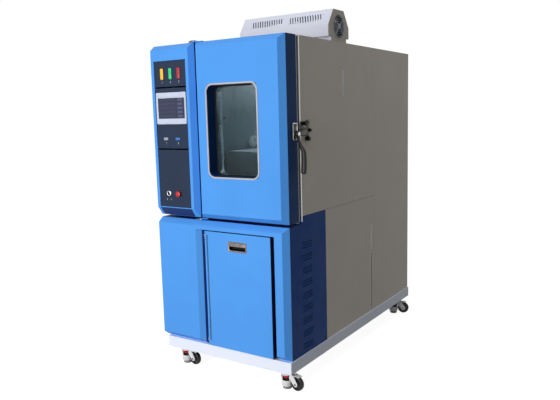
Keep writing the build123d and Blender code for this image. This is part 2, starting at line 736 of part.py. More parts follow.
# Hinge pins: pivot brackets of the main door at the column's top and foot, and the lower door's pins
bracket_land = 40.0
top_ear_z = top_z + ear_gap
bracket_z = top_ear_z + ear_thickness + ear_gap
foot_bracket_z = fascia_z + 2.0
foot_ear_z = foot_bracket_z + ear_thickness + ear_gap
with BuildPart() as hinge_pins:
    with BuildSketch(Plane.XY.offset(bracket_z)):
        with Locations((pivot_x, pivot_y)):
            Circle(2 * pivot_pin_r)
        with Locations((column_x - bracket_land / 2, foot_y + bracket_land / 2)):
            Rectangle(bracket_land - 4.0, bracket_land - 4.0)
        make_hull()
    extrude(amount=ear_thickness)
    with Locations((column_x - bracket_land / 2 - 2.0, foot_y + bracket_land / 2, (top_z + bracket_z) / 2)):
        Box(bracket_land - 8.0, bracket_land - 4.0, bracket_z - top_z)
    with BuildSketch(Plane.XY.offset(bracket_z)):
        with Locations((pivot_x, pivot_y)):
            Circle(pivot_pin_r)
    extrude(amount=-(ear_thickness + 2 * ear_gap))
    with BuildSketch(Plane.XY.offset(foot_bracket_z)):
        with Locations((pivot_x, pivot_y)):
            Circle(2 * pivot_pin_r)
        with Locations((column_x - bracket_land / 2, foot_y + bracket_land / 2)):
            Rectangle(bracket_land - 4.0, bracket_land - 4.0)
        make_hull()
    extrude(amount=ear_thickness)
    with Locations((column_x - bracket_land / 2, foot_y + bracket_land / 2, (fascia_z + foot_bracket_z) / 2)):
        Box(bracket_land - 4.0, bracket_land - 4.0, foot_bracket_z - fascia_z)
    with BuildSketch(Plane.XY.offset(foot_bracket_z + ear_thickness)):
        with Locations((pivot_x, pivot_y)):
            Circle(pivot_pin_r)
    extrude(amount=ear_thickness + 2 * ear_gap)
    for pin_z in (knuckle_spots[0] - 20.0, knuckle_spots[1] - 2.0):
        with BuildSketch(Plane.XY.offset(pin_z)):
            with Locations((lower_pivot_x, lower_pivot_y)):
                Circle(lower_pin_r)
        extrude(amount=knuckle_length + 22.0)
    for arm_z in (knuckle_spots[0] - 20.0, knuckle_spots[1] + knuckle_length + 14.0):
        with BuildSketch(Plane.XY.offset(arm_z)):
            with Locations((lower_pivot_x, lower_pivot_y)):
                Circle(knuckle_r)
            with BuildLine():
                Polyline(
                    (lower_pivot_x - knuckle_r, lower_pivot_y),
                    (lower_pivot_x + knuckle_r, lower_pivot_y),
                    (opening_left + 8.0, foot_y + 30.0),
                    (opening_left, foot_y + 30.0),
                    (opening_left, foot_y),
                    close=True,
                )
            make_face()
        extrude(amount=6.0)
finish(hinge_pins.part, "hinge_pins")

# Main door shell: folded nose, blue window reveal, and an ear on each pivot
inner_skin = door_side - sheet
window_mid = ((window_left + window_right) / 2, (window_low + window_high) / 2)
window_size = (window_right - window_left, window_high - window_low)
reveal_size = (window_size[0] - 2 * trim_width, window_size[1] - 2 * trim_width)
reveal_corner = window_corner - trim_width
pane_y = face_y + reveal_depth
door_x_span = (door_x, right_x)
door_z_span = (door_z, top_z)


def window_ring(outer_extra, inner_extra):
    """Rounded frame round the window's reveal, widened by the given extras on each side."""
    with BuildSketch() as ring:
        RectangleRounded(
            reveal_size[0] + 2 * outer_extra, reveal_size[1] + 2 * outer_extra, reveal_corner + outer_extra
        )
        RectangleRounded(
            reveal_size[0] + 2 * inner_extra,
            reveal_size[1] + 2 * inner_extra,
            reveal_corner + inner_extra,
            mode=Mode.SUBTRACT,
        )
    return ring.sketch


with BuildPart() as door_shell:
    add(nose_block(door_x_span, door_z_span, foot_y + inner_skin, bevel, bevel, bevel, bevel))
    offset(amount=-sheet, openings=door_shell.faces().sort_by(Axis.Y)[-1])
    with BuildSketch(Plane.XZ.offset(-face_y)):
        with Locations(window_mid):
            RectangleRounded(reveal_size[0] + 2 * sheet, reveal_size[1] + 2 * sheet, reveal_corner + sheet)
    extrude(amount=-reveal_depth)
    with BuildSketch(Plane.XZ.offset(-face_y)):
        with Locations(window_mid):
            RectangleRounded(*reveal_size, reveal_corner)
    extrude(amount=-reveal_depth, mode=Mode.SUBTRACT)
    for ear_z, seat in ((top_ear_z, top_z), (foot_ear_z, door_z)):
        with BuildSketch(Plane.XY.offset(ear_z)):
            with Locations((pivot_x, pivot_y)):
                Circle(2 * pivot_pin_r)
            with Locations((door_x + bracket_land / 2, foot_y + bracket_land / 2)):
                Rectangle(bracket_land - 4.0, bracket_land - 4.0)
            make_hull()
        extrude(amount=ear_thickness)
        gap = (min(ear_z, seat), max(ear_z, seat))
        if gap[1] > gap[0]:
            with Locations((door_x + bracket_land / 2 + 2.0, foot_y + bracket_land / 2, (gap[0] + gap[1]) / 2)):
                Box(bracket_land - 8.0, bracket_land - 4.0, gap[1] - gap[0])
        with BuildSketch(Plane.XY.offset(ear_z)):
            with Locations((pivot_x, pivot_y)):
                Circle(pivot_pin_r + pivot_clearance)
        extrude(amount=ear_thickness, mode=Mode.SUBTRACT)
finish(door_shell.part, "door_shell")

# Window trim: soft grey lip over the edge of the opening
with BuildPart() as window_trim:
    with BuildSketch(Plane.XZ.offset(-face_y)):
        with Locations(window_mid):
            add(window_ring(trim_width, -1.5))
    extrude(amount=trim_proud)
    chamfer(window_trim.faces().sort_by(Axis.Y)[0].edges(), length=1.5)
    with BuildSketch(Plane.XZ.offset(-face_y)):
        with Locations(window_mid):
            add(window_ring(0.0, -1.5))
    extrude(amount=-12.0)
finish(window_trim.part, "window_trim")

# Panes: the outer one clamped between the two reveals, the inner one near the chamber side
pane_edge = 8.0
inner_pane_y = foot_y + door_side - 8.0
with BuildPart() as window_panes:
    with BuildSketch(Plane.XZ.offset(-(pane_y + pane))):
        with Locations(window_mid):
            RectangleRounded(
                reveal_size[0] + 2 * pane_edge, reveal_size[1] + 2 * pane_edge, reveal_corner + pane_edge
            )
    extrude(amount=pane)
    with BuildSketch(Plane.XZ.offset(-(inner_pane_y + pane))):
        with Locations(window_mid):
            RectangleRounded(*reveal_size, reveal_corner)
    extrude(amount=pane)
finish(window_panes.part, "window_panes")

# Inner panel: steel skin facing the chamber, with the inner reveal up to the outer pane
with BuildPart() as door_inner_panel:
    with BuildSketch(Plane.XZ.offset(-(foot_y + inner_skin))):
        with Locations(((door_x + right_x) / 2, (door_z + top_z) / 2)):
            Rectangle(right_x - door_x, top_z - door_z)
    extrude(amount=-sheet)
    with BuildSketch(Plane.XZ.offset(-(foot_y + inner_skin))):
        with Locations(window_mid):
            add(window_ring(sheet, -1.0))
    extrude(amount=foot_y + inner_skin - pane_y - pane)
    with BuildSketch(Plane.XZ.offset(-(foot_y + door_side))):
        with Locations(window_mid):
            RectangleRounded(*reveal_size, reveal_corner)
    extrude(amount=door_side - (pane_y + pane - foot_y), mode=Mode.SUBTRACT)
finish(door_inner_panel.part, "door_inner_panel")

# Door insulation fills the shell round the window
with BuildPart() as door_insulation:
    with BuildSketch(Plane.XZ.offset(-(foot_y + inner_skin))):
        with Locations(((door_x + right_x) / 2, (door_z + top_z) / 2)):
            Rectangle(right_x - door_x - 2 * sheet, top_z - door_z - 2 * sheet)
        with Locations(window_mid):
            RectangleRounded(
                reveal_size[0] + 2 * pane_edge,
                reveal_size[1] + 2 * pane_edge,
                reveal_corner + pane_edge,
                mode=Mode.SUBTRACT,
            )
    extrude(amount=inner_skin - sheet)
finish(door_insulation.part, "door_insulation")

# Liner: steel chamber with a front flange, shelf ledges, and holes for the shaft and the cable port
flange_x = (column_x, box_right)
flange_z = (door_z + 2.0, box_high)
cavity_mid = ((cavity_left + cavity_right) / 2, (cavity_low + cavity_high) / 2)
cavity_size = (cavity_right - cavity_left, cavity_high - cavity_low)
port_y = foot_y + 399.0
port_height = deck_z + 1060.0
port_r = 25.0
shelf_z = deck_z + 1010.0
ledge = (10.0, 12.0)
ledge_y = (cabinet_y + 40.0, duct_y - 30.0)

with BuildPart() as chamber_liner:
    with BuildSketch(Plane.XZ.offset(-cabinet_y)):
        with Locations(((flange_x[0] + flange_x[1]) / 2, (flange_z[0] + flange_z[1]) / 2)):
            Rectangle(flange_x[1] - flange_x[0], flange_z[1] - flange_z[0])
    extrude(amount=-sheet)
    with BuildSketch(Plane.XZ.offset(-cabinet_y)):
        with Locations(cavity_mid):
            RectangleRounded(cavity_size[0] + 2 * sheet, cavity_size[1] + 2 * sheet, cavity_corner + sheet)
    extrude(amount=-(cavity_depth + sheet))
    with BuildSketch(Plane.XZ.offset(-cabinet_y)):
        with Locations(cavity_mid):
            RectangleRounded(*cavity_size, cavity_corner)
    extrude(amount=-cavity_depth, mode=Mode.SUBTRACT)
    for wall_x, inward in ((cavity_left, 1), (cavity_right, -1)):
        for ledge_top in (shelf_z, shelf_z + 190.0):
            with Locations(
                (wall_x + inward * ledge[0] / 2, (ledge_y[0] + ledge_y[1]) / 2, ledge_top - ledge[1] / 2)
            ):
                Box(ledge[0], ledge_y[1] - ledge_y[0], ledge[1])
    with BuildSketch(Plane.YZ.offset(cavity_left)):
        with Locations((port_y, port_height)):
            Circle(port_r)
    extrude(amount=-2 * sheet, mode=Mode.SUBTRACT)
    with BuildSketch(Plane.XY.offset(cavity_high)):
        with Locations((blower_x, blower_y)):
            Circle(shaft_hole_r)
    extrude(amount=2 * sheet, mode=Mode.SUBTRACT)
finish(chamber_liner.part, "chamber_liner")

# Chamber insulation round the liner
with BuildPart() as chamber_insulation:
    add(block((box_left, box_right), (cabinet_y + sheet, box_back), (box_low, box_high)))
    with BuildSketch(Plane.XZ.offset(-cabinet_y)):
        with Locations(cavity_mid):
            RectangleRounded(cavity_size[0] + 2 * sheet, cavity_size[1] + 2 * sheet, cavity_corner + sheet)
    extrude(amount=-(cavity_depth + sheet), mode=Mode.SUBTRACT)
    with BuildSketch(Plane.YZ.offset(cavity_left)):
        with Locations((port_y, port_height)):
            Circle(port_r)
    extrude(amount=box_left - cavity_left, mode=Mode.SUBTRACT)
    with BuildSketch(Plane.XY.offset(cavity_high)):
        with Locations((blower_x, blower_y)):
            Circle(shaft_hole_r)
    extrude(amount=box_high - cavity_high, mode=Mode.SUBTRACT)
finish(chamber_insulation.part, "chamber_insulation")

# Door gasket: a soft frame on the liner's flange, a little short of the closed door
gasket_inset = 10.0
gasket_x = (door_x + 4.0, right_x - gasket_inset)
gasket_z = (door_z + 8.0, top_z - gasket_inset)
gasket_hole_x = (cavity_left - 3.0, cavity_right + 25.0)
gasket_hole_z = (cavity_low - 30.0, cavity_high + 30.0)
with BuildPart() as door_gasket:
    with BuildSketch(Plane.XZ.offset(-cabinet_y)):
        with Locations(((gasket_x[0] + gasket_x[1]) / 2, (gasket_z[0] + gasket_z[1]) / 2)):
            RectangleRounded(gasket_x[1] - gasket_x[0], gasket_z[1] - gasket_z[0], 14.0)
        with Locations(
            ((gasket_hole_x[0] + gasket_hole_x[1]) / 2, (gasket_hole_z[0] + gasket_hole_z[1]) / 2)
        ):
            RectangleRounded(
                gasket_hole_x[1] - gasket_hole_x[0],
                gasket_hole_z[1] - gasket_hole_z[0],
                14.0,
                mode=Mode.SUBTRACT,
            )
    extrude(amount=gasket_gap - body_gap)
    chamfer(door_gasket.faces().sort_by(Axis.Y)[0].edges(), length=4.0)
finish(door_gasket.part, "door_gasket")

# Wire shelf lying on the ledges
shelf_rod_r = 3.0
shelf_wire_r = 2.0
shelf_x = (cavity_left + 4.0, cavity_right - 4.0)
shelf_y = (cabinet_y + 50.0, duct_y - 40.0)
shelf_wires = 17
shelf_mid_y = (shelf_y[0] + shelf_y[1]) / 2
with BuildPart() as shelf:
    with BuildSketch(Plane.YZ.offset(shelf_x[0])):
        with Locations(*[(y, shelf_z + shelf_rod_r) for y in (*shelf_y, shelf_mid_y)]):
            RegularPolygon(shelf_rod_r, 8, rotation=22.5, major_radius=True)
    extrude(amount=shelf_x[1] - shelf_x[0])
    with BuildSketch(Plane.XZ.offset(-shelf_y[0])):
        with Locations(((shelf_x[0] + shelf_x[1]) / 2, shelf_z + 2 * shelf_rod_r)):
            with GridLocations((shelf_x[1] - shelf_x[0] - 2 * shelf_wire_r) / (shelf_wires - 1), 1, shelf_wires, 1):
                RegularPolygon(shelf_wire_r, 6)
    extrude(amount=-(shelf_y[1] - shelf_y[0]))
finish(shelf.part, "shelf")

# Air duct: bent baffle, over the ceiling with the blower's inlet and down the back with outlet slots
inlet_r = 75.0
with BuildPart() as air_duct:
    with BuildSketch(Plane.YZ.offset(cavity_left)):
        with BuildLine():
            Polyline(
                (cabinet_y + 4.0, ceiling_z),
                (duct_y, ceiling_z),
                (duct_y, cavity_low + cavity_corner + 2.0),
                (duct_y + sheet, cavity_low + cavity_corner + 2.0),
                (duct_y + sheet, ceiling_z + sheet),
                (cabinet_y + 4.0, ceiling_z + sheet),
                close=True,
            )
        make_face()
    extrude(amount=cavity_size[0])
    with BuildSketch(Plane.XY.offset(ceiling_z)):
        with Locations((blower_x, blower_y)):
            Circle(inlet_r)
    extrude(amount=sheet, mode=Mode.SUBTRACT)
    with BuildSketch(Plane.XZ.offset(-duct_y)):
        with Locations((cavity_mid[0], cavity_low + 90.0)):
            with GridLocations(90.0, 22.0, 4, 4):
                Rectangle(60.0, 8.0)
    extrude(amount=-sheet, mode=Mode.SUBTRACT)
finish(air_duct.part, "air_duct")

# Cable port plug: soft stopper with a flange inside the chamber
plug_flange = (32.0, 24.0)
with BuildPart() as port_plug:
    with BuildSketch(Plane.YZ.offset(cavity_left)):
        with Locations((port_y, port_height)):
            Circle(port_r - body_gap)
    extrude(amount=box_left - cavity_left)
    with BuildSketch(Plane.YZ.offset(cavity_left)):
        with Locations((port_y, port_height)):
            Circle(plug_flange[0])
    extrude(amount=plug_flange[1])
    chamfer(port_plug.faces().sort_by(Axis.X)[-1].edges(), length=4.0)
    with BuildSketch(Plane.YZ.offset(cavity_left + plug_flange[1])):
        with Locations((port_y, port_height)):
            Circle(plug_flange[0] / 2)
    extrude(amount=-10.0, mode=Mode.SUBTRACT)
finish(port_plug.part, "port_plug")

# Blower: motor on the roof under the housing, and the shaft and wheel that hang from it
motor_r = 56.0
motor_height = 118.0
motor_flange = 6.0
wheel_radius = 98.0
blade_height = 40.0
blade_count = 12
wheel_low = ceiling_z + sheet + 10.0
with BuildPart() as blower_motor:
    with BuildSketch(Plane.XY.offset(top_z)):
        with Locations((blower_x, blower_y)):
            RectangleRounded(2.4 * motor_r, 2.4 * motor_r, 12.0)
    extrude(amount=motor_flange)
    with BuildSketch(Plane.XY.offset(top_z)):
        with Locations((blower_x, blower_y)):
            Circle(motor_r)
    extrude(amount=motor_height)
    chamfer(blower_motor.faces().sort_by(Axis.Z)[-1].edges(), length=10.0)
    with BuildSketch(Plane.XY.offset(top_z)):
        with Locations((blower_x, blower_y)):
            Circle(shaft_r + running)
    extrude(amount=40.0, mode=Mode.SUBTRACT)
finish(blower_motor.part, "blower_motor")

with BuildPart() as blower_wheel:
    with BuildSketch(Plane.XY.offset(wheel_low)):
        with Locations((blower_x, blower_y)):
            Circle(shaft_r)
    extrude(amount=top_z + 38.0 - wheel_low)
    with BuildSketch(Plane.XY.offset(wheel_low + blade_height)):
        with Locations((blower_x, blower_y)):
            Circle(wheel_radius)
    extrude(amount=2.0)
    with BuildSketch(Plane.XY.offset(wheel_low)):
        with Locations((blower_x, blower_y)):
            Circle(wheel_radius)
            Circle(wheel_radius - 18.0, mode=Mode.SUBTRACT)
    extrude(amount=2.0)
    with BuildSketch(Plane.XY.offset(wheel_low)):
        with Locations((blower_x, blower_y)):
            with PolarLocations(wheel_radius - 15.0, blade_count):
                Rectangle(26.0, 2.0, rotation=40)
    extrude(amount=blade_height)
    with BuildSketch(Plane.XY.offset(wheel_low + blade_height)):
        with Locations((blower_x, blower_y)):
            Circle(18.0)
    extrude(amount=-22.0)
finish(blower_wheel.part, "blower_wheel")

# Heater: straight rods between two brackets on the back wall
heater_r = 5.0
heater_y = duct_y + 36.0
heater_low = cavity_low + 150.0
heater_span = 300.0
heater_rods = 4
heater_pitch = 34.0
bracket_mid = heater_low + (heater_rods - 1) * heater_pitch / 2
bracket_height = heater_rods * heater_pitch
with BuildPart() as heater_element:
    with BuildSketch(Plane.YZ.offset(blower_x - heater_span / 2)):
        with Locations((heater_y, bracket_mid)):
            with GridLocations(1, heater_pitch, 1, heater_rods):
                Circle(heater_r)
    extrude(amount=heater_span)
    for side in (-1, 1):
        with Locations((blower_x + side * 0.42 * heater_span, (heater_y + cavity_back) / 2 - 5.0, bracket_mid)):
            Box(4.0, cavity_back - heater_y + 10.0, bracket_height)
finish(heater_element.part, "heater_element")

# Evaporator: finned block on the back wall, above the heater
coil_z = (cavity_low + 330.0, ceiling_z - 20.0)
coil_x = (cavity_left + 30.0, cavity_right - 30.0)
coil_y = (cavity_back - 70.0, cavity_back)
coil_fins = 24
with BuildPart() as evaporator_coil:
    add(finned_coil(coil_x, coil_y, coil_z, coil_fins))
finish(evaporator_coil.part, "evaporator_coil")

# Latch plate on the door's side, with the two lugs that hold the lever
latch_y = (foot_y + 42.0, foot_y + 83.0)
latch_z = (deck_z + 1083.0, deck_z + 1164.0)
latch_plate = 4.0
latch_axis_y = foot_y + 67.0
latch_axis_z = deck_z + 1112.0
latch_pin_r = 5.0
lug_x = (right_x + latch_plate, right_x + 26.0)
arm_x = (right_x + 9.0, right_x + 21.0)
with BuildPart() as latch_base:
    with BuildSketch(Plane.YZ.offset(right_x)):
        with Locations(((latch_y[0] + latch_y[1]) / 2, (latch_z[0] + latch_z[1]) / 2)):
            RectangleRounded(latch_y[1] - latch_y[0], latch_z[1] - latch_z[0], 5.0)
    extrude(amount=latch_plate)
    with BuildSketch(Plane.YZ.offset(right_x + latch_plate)):
        with Locations((latch_axis_y, latch_axis_z)):
            Circle(12.0)
    extrude(amount=arm_x[0] - body_gap - right_x - latch_plate)
    with BuildSketch(Plane.YZ.offset(right_x)):
        with Locations((latch_axis_y, latch_axis_z)):
            Circle(latch_pin_r)
    extrude(amount=lug_x[1] - right_x)
    with BuildSketch(Plane.YZ.offset(arm_x[1] + body_gap)):
        with Locations((latch_axis_y, latch_axis_z)):
            Circle(9.0)
    extrude(amount=lug_x[1] - arm_x[1] - body_gap)
    with BuildSketch(Plane.YZ.offset(right_x + latch_plate)):
        with Locations((latch_y[0] + 6.0, latch_z[1] - 12.0), (latch_y[0] + 6.0, latch_z[0] + 12.0)):
            Circle(4.5)
    extrude(amount=2.5)
finish(latch_base.part, "latch_base")

# Lever: claw towards the keeper, cranked arm, and the grip that hangs behind the door's edge
claw_y = foot_y + 158.0
grip_x = (arm_x[1] - 1.0, right_x + latch_proud)
with BuildPart() as latch_lever:
    with BuildSketch(Plane.YZ.offset(arm_x[0])):
        with Locations((latch_axis_y, latch_axis_z)):
            Circle(14.0)
        with Locations((claw_y - 8.0, latch_axis_z + 14.0)):
            Circle(8.0)
        make_hull()
    extrude(amount=arm_x[1] - arm_x[0])
    with BuildSketch(Plane.YZ.offset(arm_x[0])):
        with BuildLine():
            Spline(
                (latch_axis_y, latch_axis_z),
                (foot_y + 104.0, deck_z + 1070.0),
                (foot_y + 148.0, deck_z + 1024.0),
                (foot_y + 150.0, deck_z + 985.0),
            )
        trace(line_width=14.0)
    extrude(amount=arm_x[1] - arm_x[0])
    with BuildSketch(Plane.YZ.offset(grip_x[0])):
        with Locations((foot_y + 148.0, deck_z + 1000.0)):
            Circle(9.0)
        with Locations((foot_y + 138.0, deck_z + 918.0)):
            Circle(10.5)
        make_hull()
    extrude(amount=grip_x[1] - grip_x[0])
    with BuildSketch(Plane.YZ.offset(arm_x[0])):
        with Locations((latch_axis_y, latch_axis_z)):
            Circle(latch_pin_r + running)
    extrude(amount=arm_x[1] - arm_x[0], mode=Mode.SUBTRACT)
finish(latch_lever.part, "latch_lever")

# Keeper on the cabinet side: a plate with its roller on a stub
keeper_y = (foot_y + 166.0, foot_y + 200.0)
keeper_z = (deck_z + 1078.0, deck_z + 1176.0)
with BuildPart() as latch_keeper:
    with BuildSketch(Plane.YZ.offset(right_x)):
        with Locations(((keeper_y[0] + keeper_y[1]) / 2, (keeper_z[0] + keeper_z[1]) / 2)):
            RectangleRounded(keeper_y[1] - keeper_y[0], keeper_z[1] - keeper_z[0], 8.0)
    extrude(amount=latch_plate)
    with BuildSketch(Plane.YZ.offset(right_x + latch_plate)):
        with Locations((foot_y + 176.0, latch_axis_z + 14.0)):
            Circle(9.0)
    extrude(amount=24.0)
    with BuildSketch(Plane.YZ.offset(right_x + latch_plate)):
        with Locations((foot_y + 182.0, keeper_z[1] - 14.0), (foot_y + 182.0, keeper_z[0] + 14.0)):
            RegularPolygon(8.0, 6)
    extrude(amount=8.0)
finish(latch_keeper.part, "latch_keeper")

# Roof housing: folded hood with sloping sides, slotted front and back, and a fan hole in its right end
fan_r = 57.0
fan_axis_z = top_z + housing_shoulder
slot_groups = (0.30, 0.73)
slots_per_group = 13
slot_pitch = 15.5
slot_lean = 20.0
slot_band = 44.0


def housing_profile(inset):
    """Cross-section of the hood, in from its outer skin by the inset and open below when inset."""
    half = housing_width / 2
    foot = half - housing_step
    with BuildSketch(Plane.YZ.offset(housing_left + inset)) as outline:
        with BuildLine():
            Polyline(
                (housing_middle - foot, top_z),
                (housing_middle - foot, top_z + housing_foot),
                (housing_middle - half, top_z + housing_foot),
                (housing_middle - half, fan_axis_z),
                (housing_middle - housing_flat / 2, top_z + housing_height),
                (housing_middle + housing_flat / 2, top_z + housing_height),
                (housing_middle + half, fan_axis_z),
                (housing_middle + half, top_z + housing_foot),
                (housing_middle + foot, top_z + housing_foot),
                (housing_middle + foot, top_z),
                close=True,
            )
        make_face()
        if inset:
            offset(amount=-inset, kind=Kind.INTERSECTION, mode=Mode.REPLACE)
            with Locations((housing_middle, top_z + housing_foot / 2)):
                Rectangle(2 * (foot - inset), housing_foot)
    return outline.sketch


with BuildPart() as motor_housing:
    add(housing_profile(0.0))
    extrude(amount=right_x - housing_left, dir=(1, 0, 0))
    add(housing_profile(sheet))
    extrude(amount=right_x - housing_left - 2 * sheet, dir=(1, 0, 0), mode=Mode.SUBTRACT)
    with BuildSketch(Plane.YZ.offset(right_x)):
        with Locations((housing_middle, fan_axis_z)):
            Circle(fan_r)
    extrude(amount=-2 * sheet, mode=Mode.SUBTRACT)
    for side in (-1, 1):
        low = Vector(housing_left, housing_middle + side * housing_width / 2, fan_axis_z)
        high = Vector(housing_left, housing_middle + side * housing_flat / 2, top_z + housing_height)
        rise = (high - low).normalized()
        length = (high - low).length
        along = Vector(1, 0, 0)
        normal = along.cross(rise) if side < 0 else rise.cross(along)
        skin = Plane(origin=(low + high) * 0.5, x_dir=along, z_dir=normal)
        for share in slot_groups:
            group_x = share * (right_x - housing_left)
            with BuildSketch(skin):
                with Locations((group_x, 0)):
                    with GridLocations(slot_pitch, 1, slots_per_group + 2, 1):
                        Rectangle(6.0, 2 * slot_band, rotation=slot_lean)
                    Rectangle(slots_per_group * slot_pitch, slot_band, mode=Mode.INTERSECT)
            extrude(amount=3 * sheet, both=True, mode=Mode.SUBTRACT)
finish(motor_housing.part, "motor_housing")

# Axial fan behind the end plate: square frame with a hub on four struts, and its rotor
fan_size = 119.0
fan_depth = 38.0
fan_hub_r = 22.0
rotor_r = 54.0
fan_shaft_r = 3.0
fan_back = right_x - sheet - fan_depth
with BuildPart() as exhaust_fan_frame:
    with BuildSketch(Plane.YZ.offset(fan_back)):
        with Locations((housing_middle, fan_axis_z)):
            RectangleRounded(fan_size, fan_size, 6.0)
            Circle(fan_r - 1.0, mode=Mode.SUBTRACT)
    extrude(amount=fan_depth)
    with BuildSketch(Plane.YZ.offset(fan_back)):
        with Locations((housing_middle, fan_axis_z)):
            Circle(fan_hub_r)
            Rectangle(2 * fan_r, 5.0)
            Rectangle(5.0, 2 * fan_r)
    extrude(amount=5.0)
    with BuildSketch(Plane.YZ.offset(fan_back + 5.0)):
        with Locations((housing_middle, fan_axis_z)):
            Circle(fan_shaft_r + running)
    extrude(amount=-5.0, mode=Mode.SUBTRACT)
finish(exhaust_fan_frame.part, "exhaust_fan_frame")

with BuildPart() as exhaust_fan_rotor:
    with BuildSketch(Plane.YZ.offset(fan_back + 6.0)):
        with Locations((housing_middle, fan_axis_z)):
            Circle(fan_hub_r)
    extrude(amount=26.0)
    with BuildSketch(Plane.YZ.offset(fan_back)):
        with Locations((housing_middle, fan_axis_z)):
            Circle(fan_shaft_r)
    extrude(amount=8.0)
    for index in range(5):
        blade = Plane(
            origin=(fan_back + 19.0, housing_middle, fan_axis_z),
            x_dir=(1, 0, 0),
            z_dir=(0, cos(radians(72.0 * index)), sin(radians(72.0 * index))),
        )
        with BuildSketch(blade.offset(fan_hub_r - 3.0)):
            Rectangle(30.0, 2.0, rotation=35)
        with BuildSketch(blade.offset(rotor_r - 2.0)):
            Rectangle(36.0, 2.0, rotation=55)
        loft()
finish(exhaust_fan_rotor.part, "exhaust_fan_rotor")

# Compressor: welded steel capsule on feet, in the machine space
shell_r = 92.0
compressor_spot = (mid_x + 110.0, foot_y + 470.0)
with BuildPart() as compressor:
    with BuildSketch(Plane.XY.offset(pan_z)):
        with Locations(compressor_spot):
            RectangleRounded(230.0, 190.0, 20.0)
    extrude(amount=5.0)
    with BuildSketch(Plane.XY.offset(pan_z)):
        with Locations(compressor_spot):
            Circle(shell_r)
    extrude(amount=255.0)
    chamfer(compressor.faces().sort_by(Axis.Z)[-1].edges(), length=36.0)
    with BuildSketch(Plane.XY.offset(pan_z + 120.0)):
        with Locations(compressor_spot):
            Circle(shell_r + 4.0)
    extrude(amount=5.0)
finish(compressor.part, "compressor")

# Condenser: finned coil behind the lower door, with the shroud and strut that hold its fan
cond_x = (mid_x - 60.0, mid_x + 290.0)
cond_y = (foot_y + 150.0, foot_y + 205.0)
cond_z = (pan_z, pan_z + 430.0)
shroud_depth = 70.0
cond_fan_r = 140.0
cond_mid = ((cond_x[0] + cond_x[1]) / 2, (cond_z[0] + cond_z[1]) / 2)
cond_fins = 30
cond_hub_r = 30.0
shroud_back = cond_y[1] + shroud_depth
with BuildPart() as condenser:
    add(finned_coil(cond_x, cond_y, cond_z, cond_fins))
    with BuildSketch(Plane.XZ.offset(-cond_y[1])):
        with Locations(cond_mid):
            Rectangle(cond_x[1] - cond_x[0], cond_z[1] - cond_z[0])
            Rectangle(cond_x[1] - cond_x[0] - 4.0, cond_z[1] - cond_z[0] - 4.0, mode=Mode.SUBTRACT)
    extrude(amount=-shroud_depth)
    with BuildSketch(Plane.XZ.offset(-(shroud_back - 2.0))):
        with Locations(cond_mid):
            Rectangle(cond_x[1] - cond_x[0], cond_z[1] - cond_z[0])
            Circle(cond_fan_r + 6.0, mode=Mode.SUBTRACT)
            Rectangle(12.0, cond_z[1] - cond_z[0])
            Circle(cond_hub_r)
    extrude(amount=-2.0)
    with BuildSketch(Plane.XZ.offset(-(shroud_back - 2.0))):
        with Locations(cond_mid):
            Circle(cond_hub_r)
            Circle(shaft_r + running, mode=Mode.SUBTRACT)
    extrude(amount=-30.0)
    with BuildSketch(Plane.XZ.offset(-(shroud_back - 2.0))):
        with Locations(cond_mid):
            Circle(shaft_r + running)
    extrude(amount=-30.0, mode=Mode.SUBTRACT)
finish(condenser.part, "condenser")

with BuildPart() as condenser_fan:
    fan_y = shroud_back - 30.0
    with BuildSketch(Plane.XZ.offset(-(fan_y - 10.0))):
        with Locations(cond_mid):
            Circle(cond_hub_r)
    extrude(amount=-24.0)
    with BuildSketch(Plane.XZ.offset(-fan_y)):
        with Locations(cond_mid):
            Circle(shaft_r)
    extrude(amount=-50.0)
    for index in range(4):
        blade = Plane(
            origin=(cond_mid[0], fan_y, cond_mid[1]),
            x_dir=(0, 1, 0),
            z_dir=(cos(radians(90.0 * index)), 0, sin(radians(90.0 * index))),
        )
        with BuildSketch(blade.offset(cond_hub_r - 5.0)):
            Rectangle(30.0, 2.5, rotation=45)
        with BuildSketch(blade.offset(cond_fan_r - 6.0)):
            Rectangle(36.0, 2.5, rotation=65)
        loft()
finish(condenser_fan.part, "condenser_fan")
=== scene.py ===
"""Environmental test chamber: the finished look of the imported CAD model, for one studio view."""

import logging
import math
from dataclasses import dataclass
from enum import Enum
from typing import Iterable, Sequence

import bmesh
import bpy
import numpy as np
from mathutils import Matrix, Vector


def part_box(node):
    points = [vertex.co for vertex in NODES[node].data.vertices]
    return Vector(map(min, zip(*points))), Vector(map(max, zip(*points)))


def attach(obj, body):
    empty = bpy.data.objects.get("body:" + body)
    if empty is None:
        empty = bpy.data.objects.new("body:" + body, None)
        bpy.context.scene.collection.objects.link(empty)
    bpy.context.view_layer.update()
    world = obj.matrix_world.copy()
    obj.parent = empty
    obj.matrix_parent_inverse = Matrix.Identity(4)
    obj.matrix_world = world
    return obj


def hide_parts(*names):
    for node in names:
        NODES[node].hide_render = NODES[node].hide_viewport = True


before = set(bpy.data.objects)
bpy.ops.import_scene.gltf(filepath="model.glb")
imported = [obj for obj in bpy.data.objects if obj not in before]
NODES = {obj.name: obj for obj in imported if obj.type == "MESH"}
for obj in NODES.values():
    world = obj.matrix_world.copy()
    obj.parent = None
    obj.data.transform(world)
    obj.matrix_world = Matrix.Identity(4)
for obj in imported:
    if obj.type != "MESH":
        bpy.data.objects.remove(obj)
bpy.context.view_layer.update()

log = logging.getLogger("chamber")
MM = 0.001

Tree = bpy.types.NodeTree
Node = bpy.types.Node
Colour = tuple[float, float, float, float]
Station = tuple[float, float, float, float]
Pair = tuple[float, float]
Point = Sequence[float]


class Axis(Enum):
    """Axes of the shared frame, each with its place in a point."""

    X = 0
    Y = 1
    Z = 2


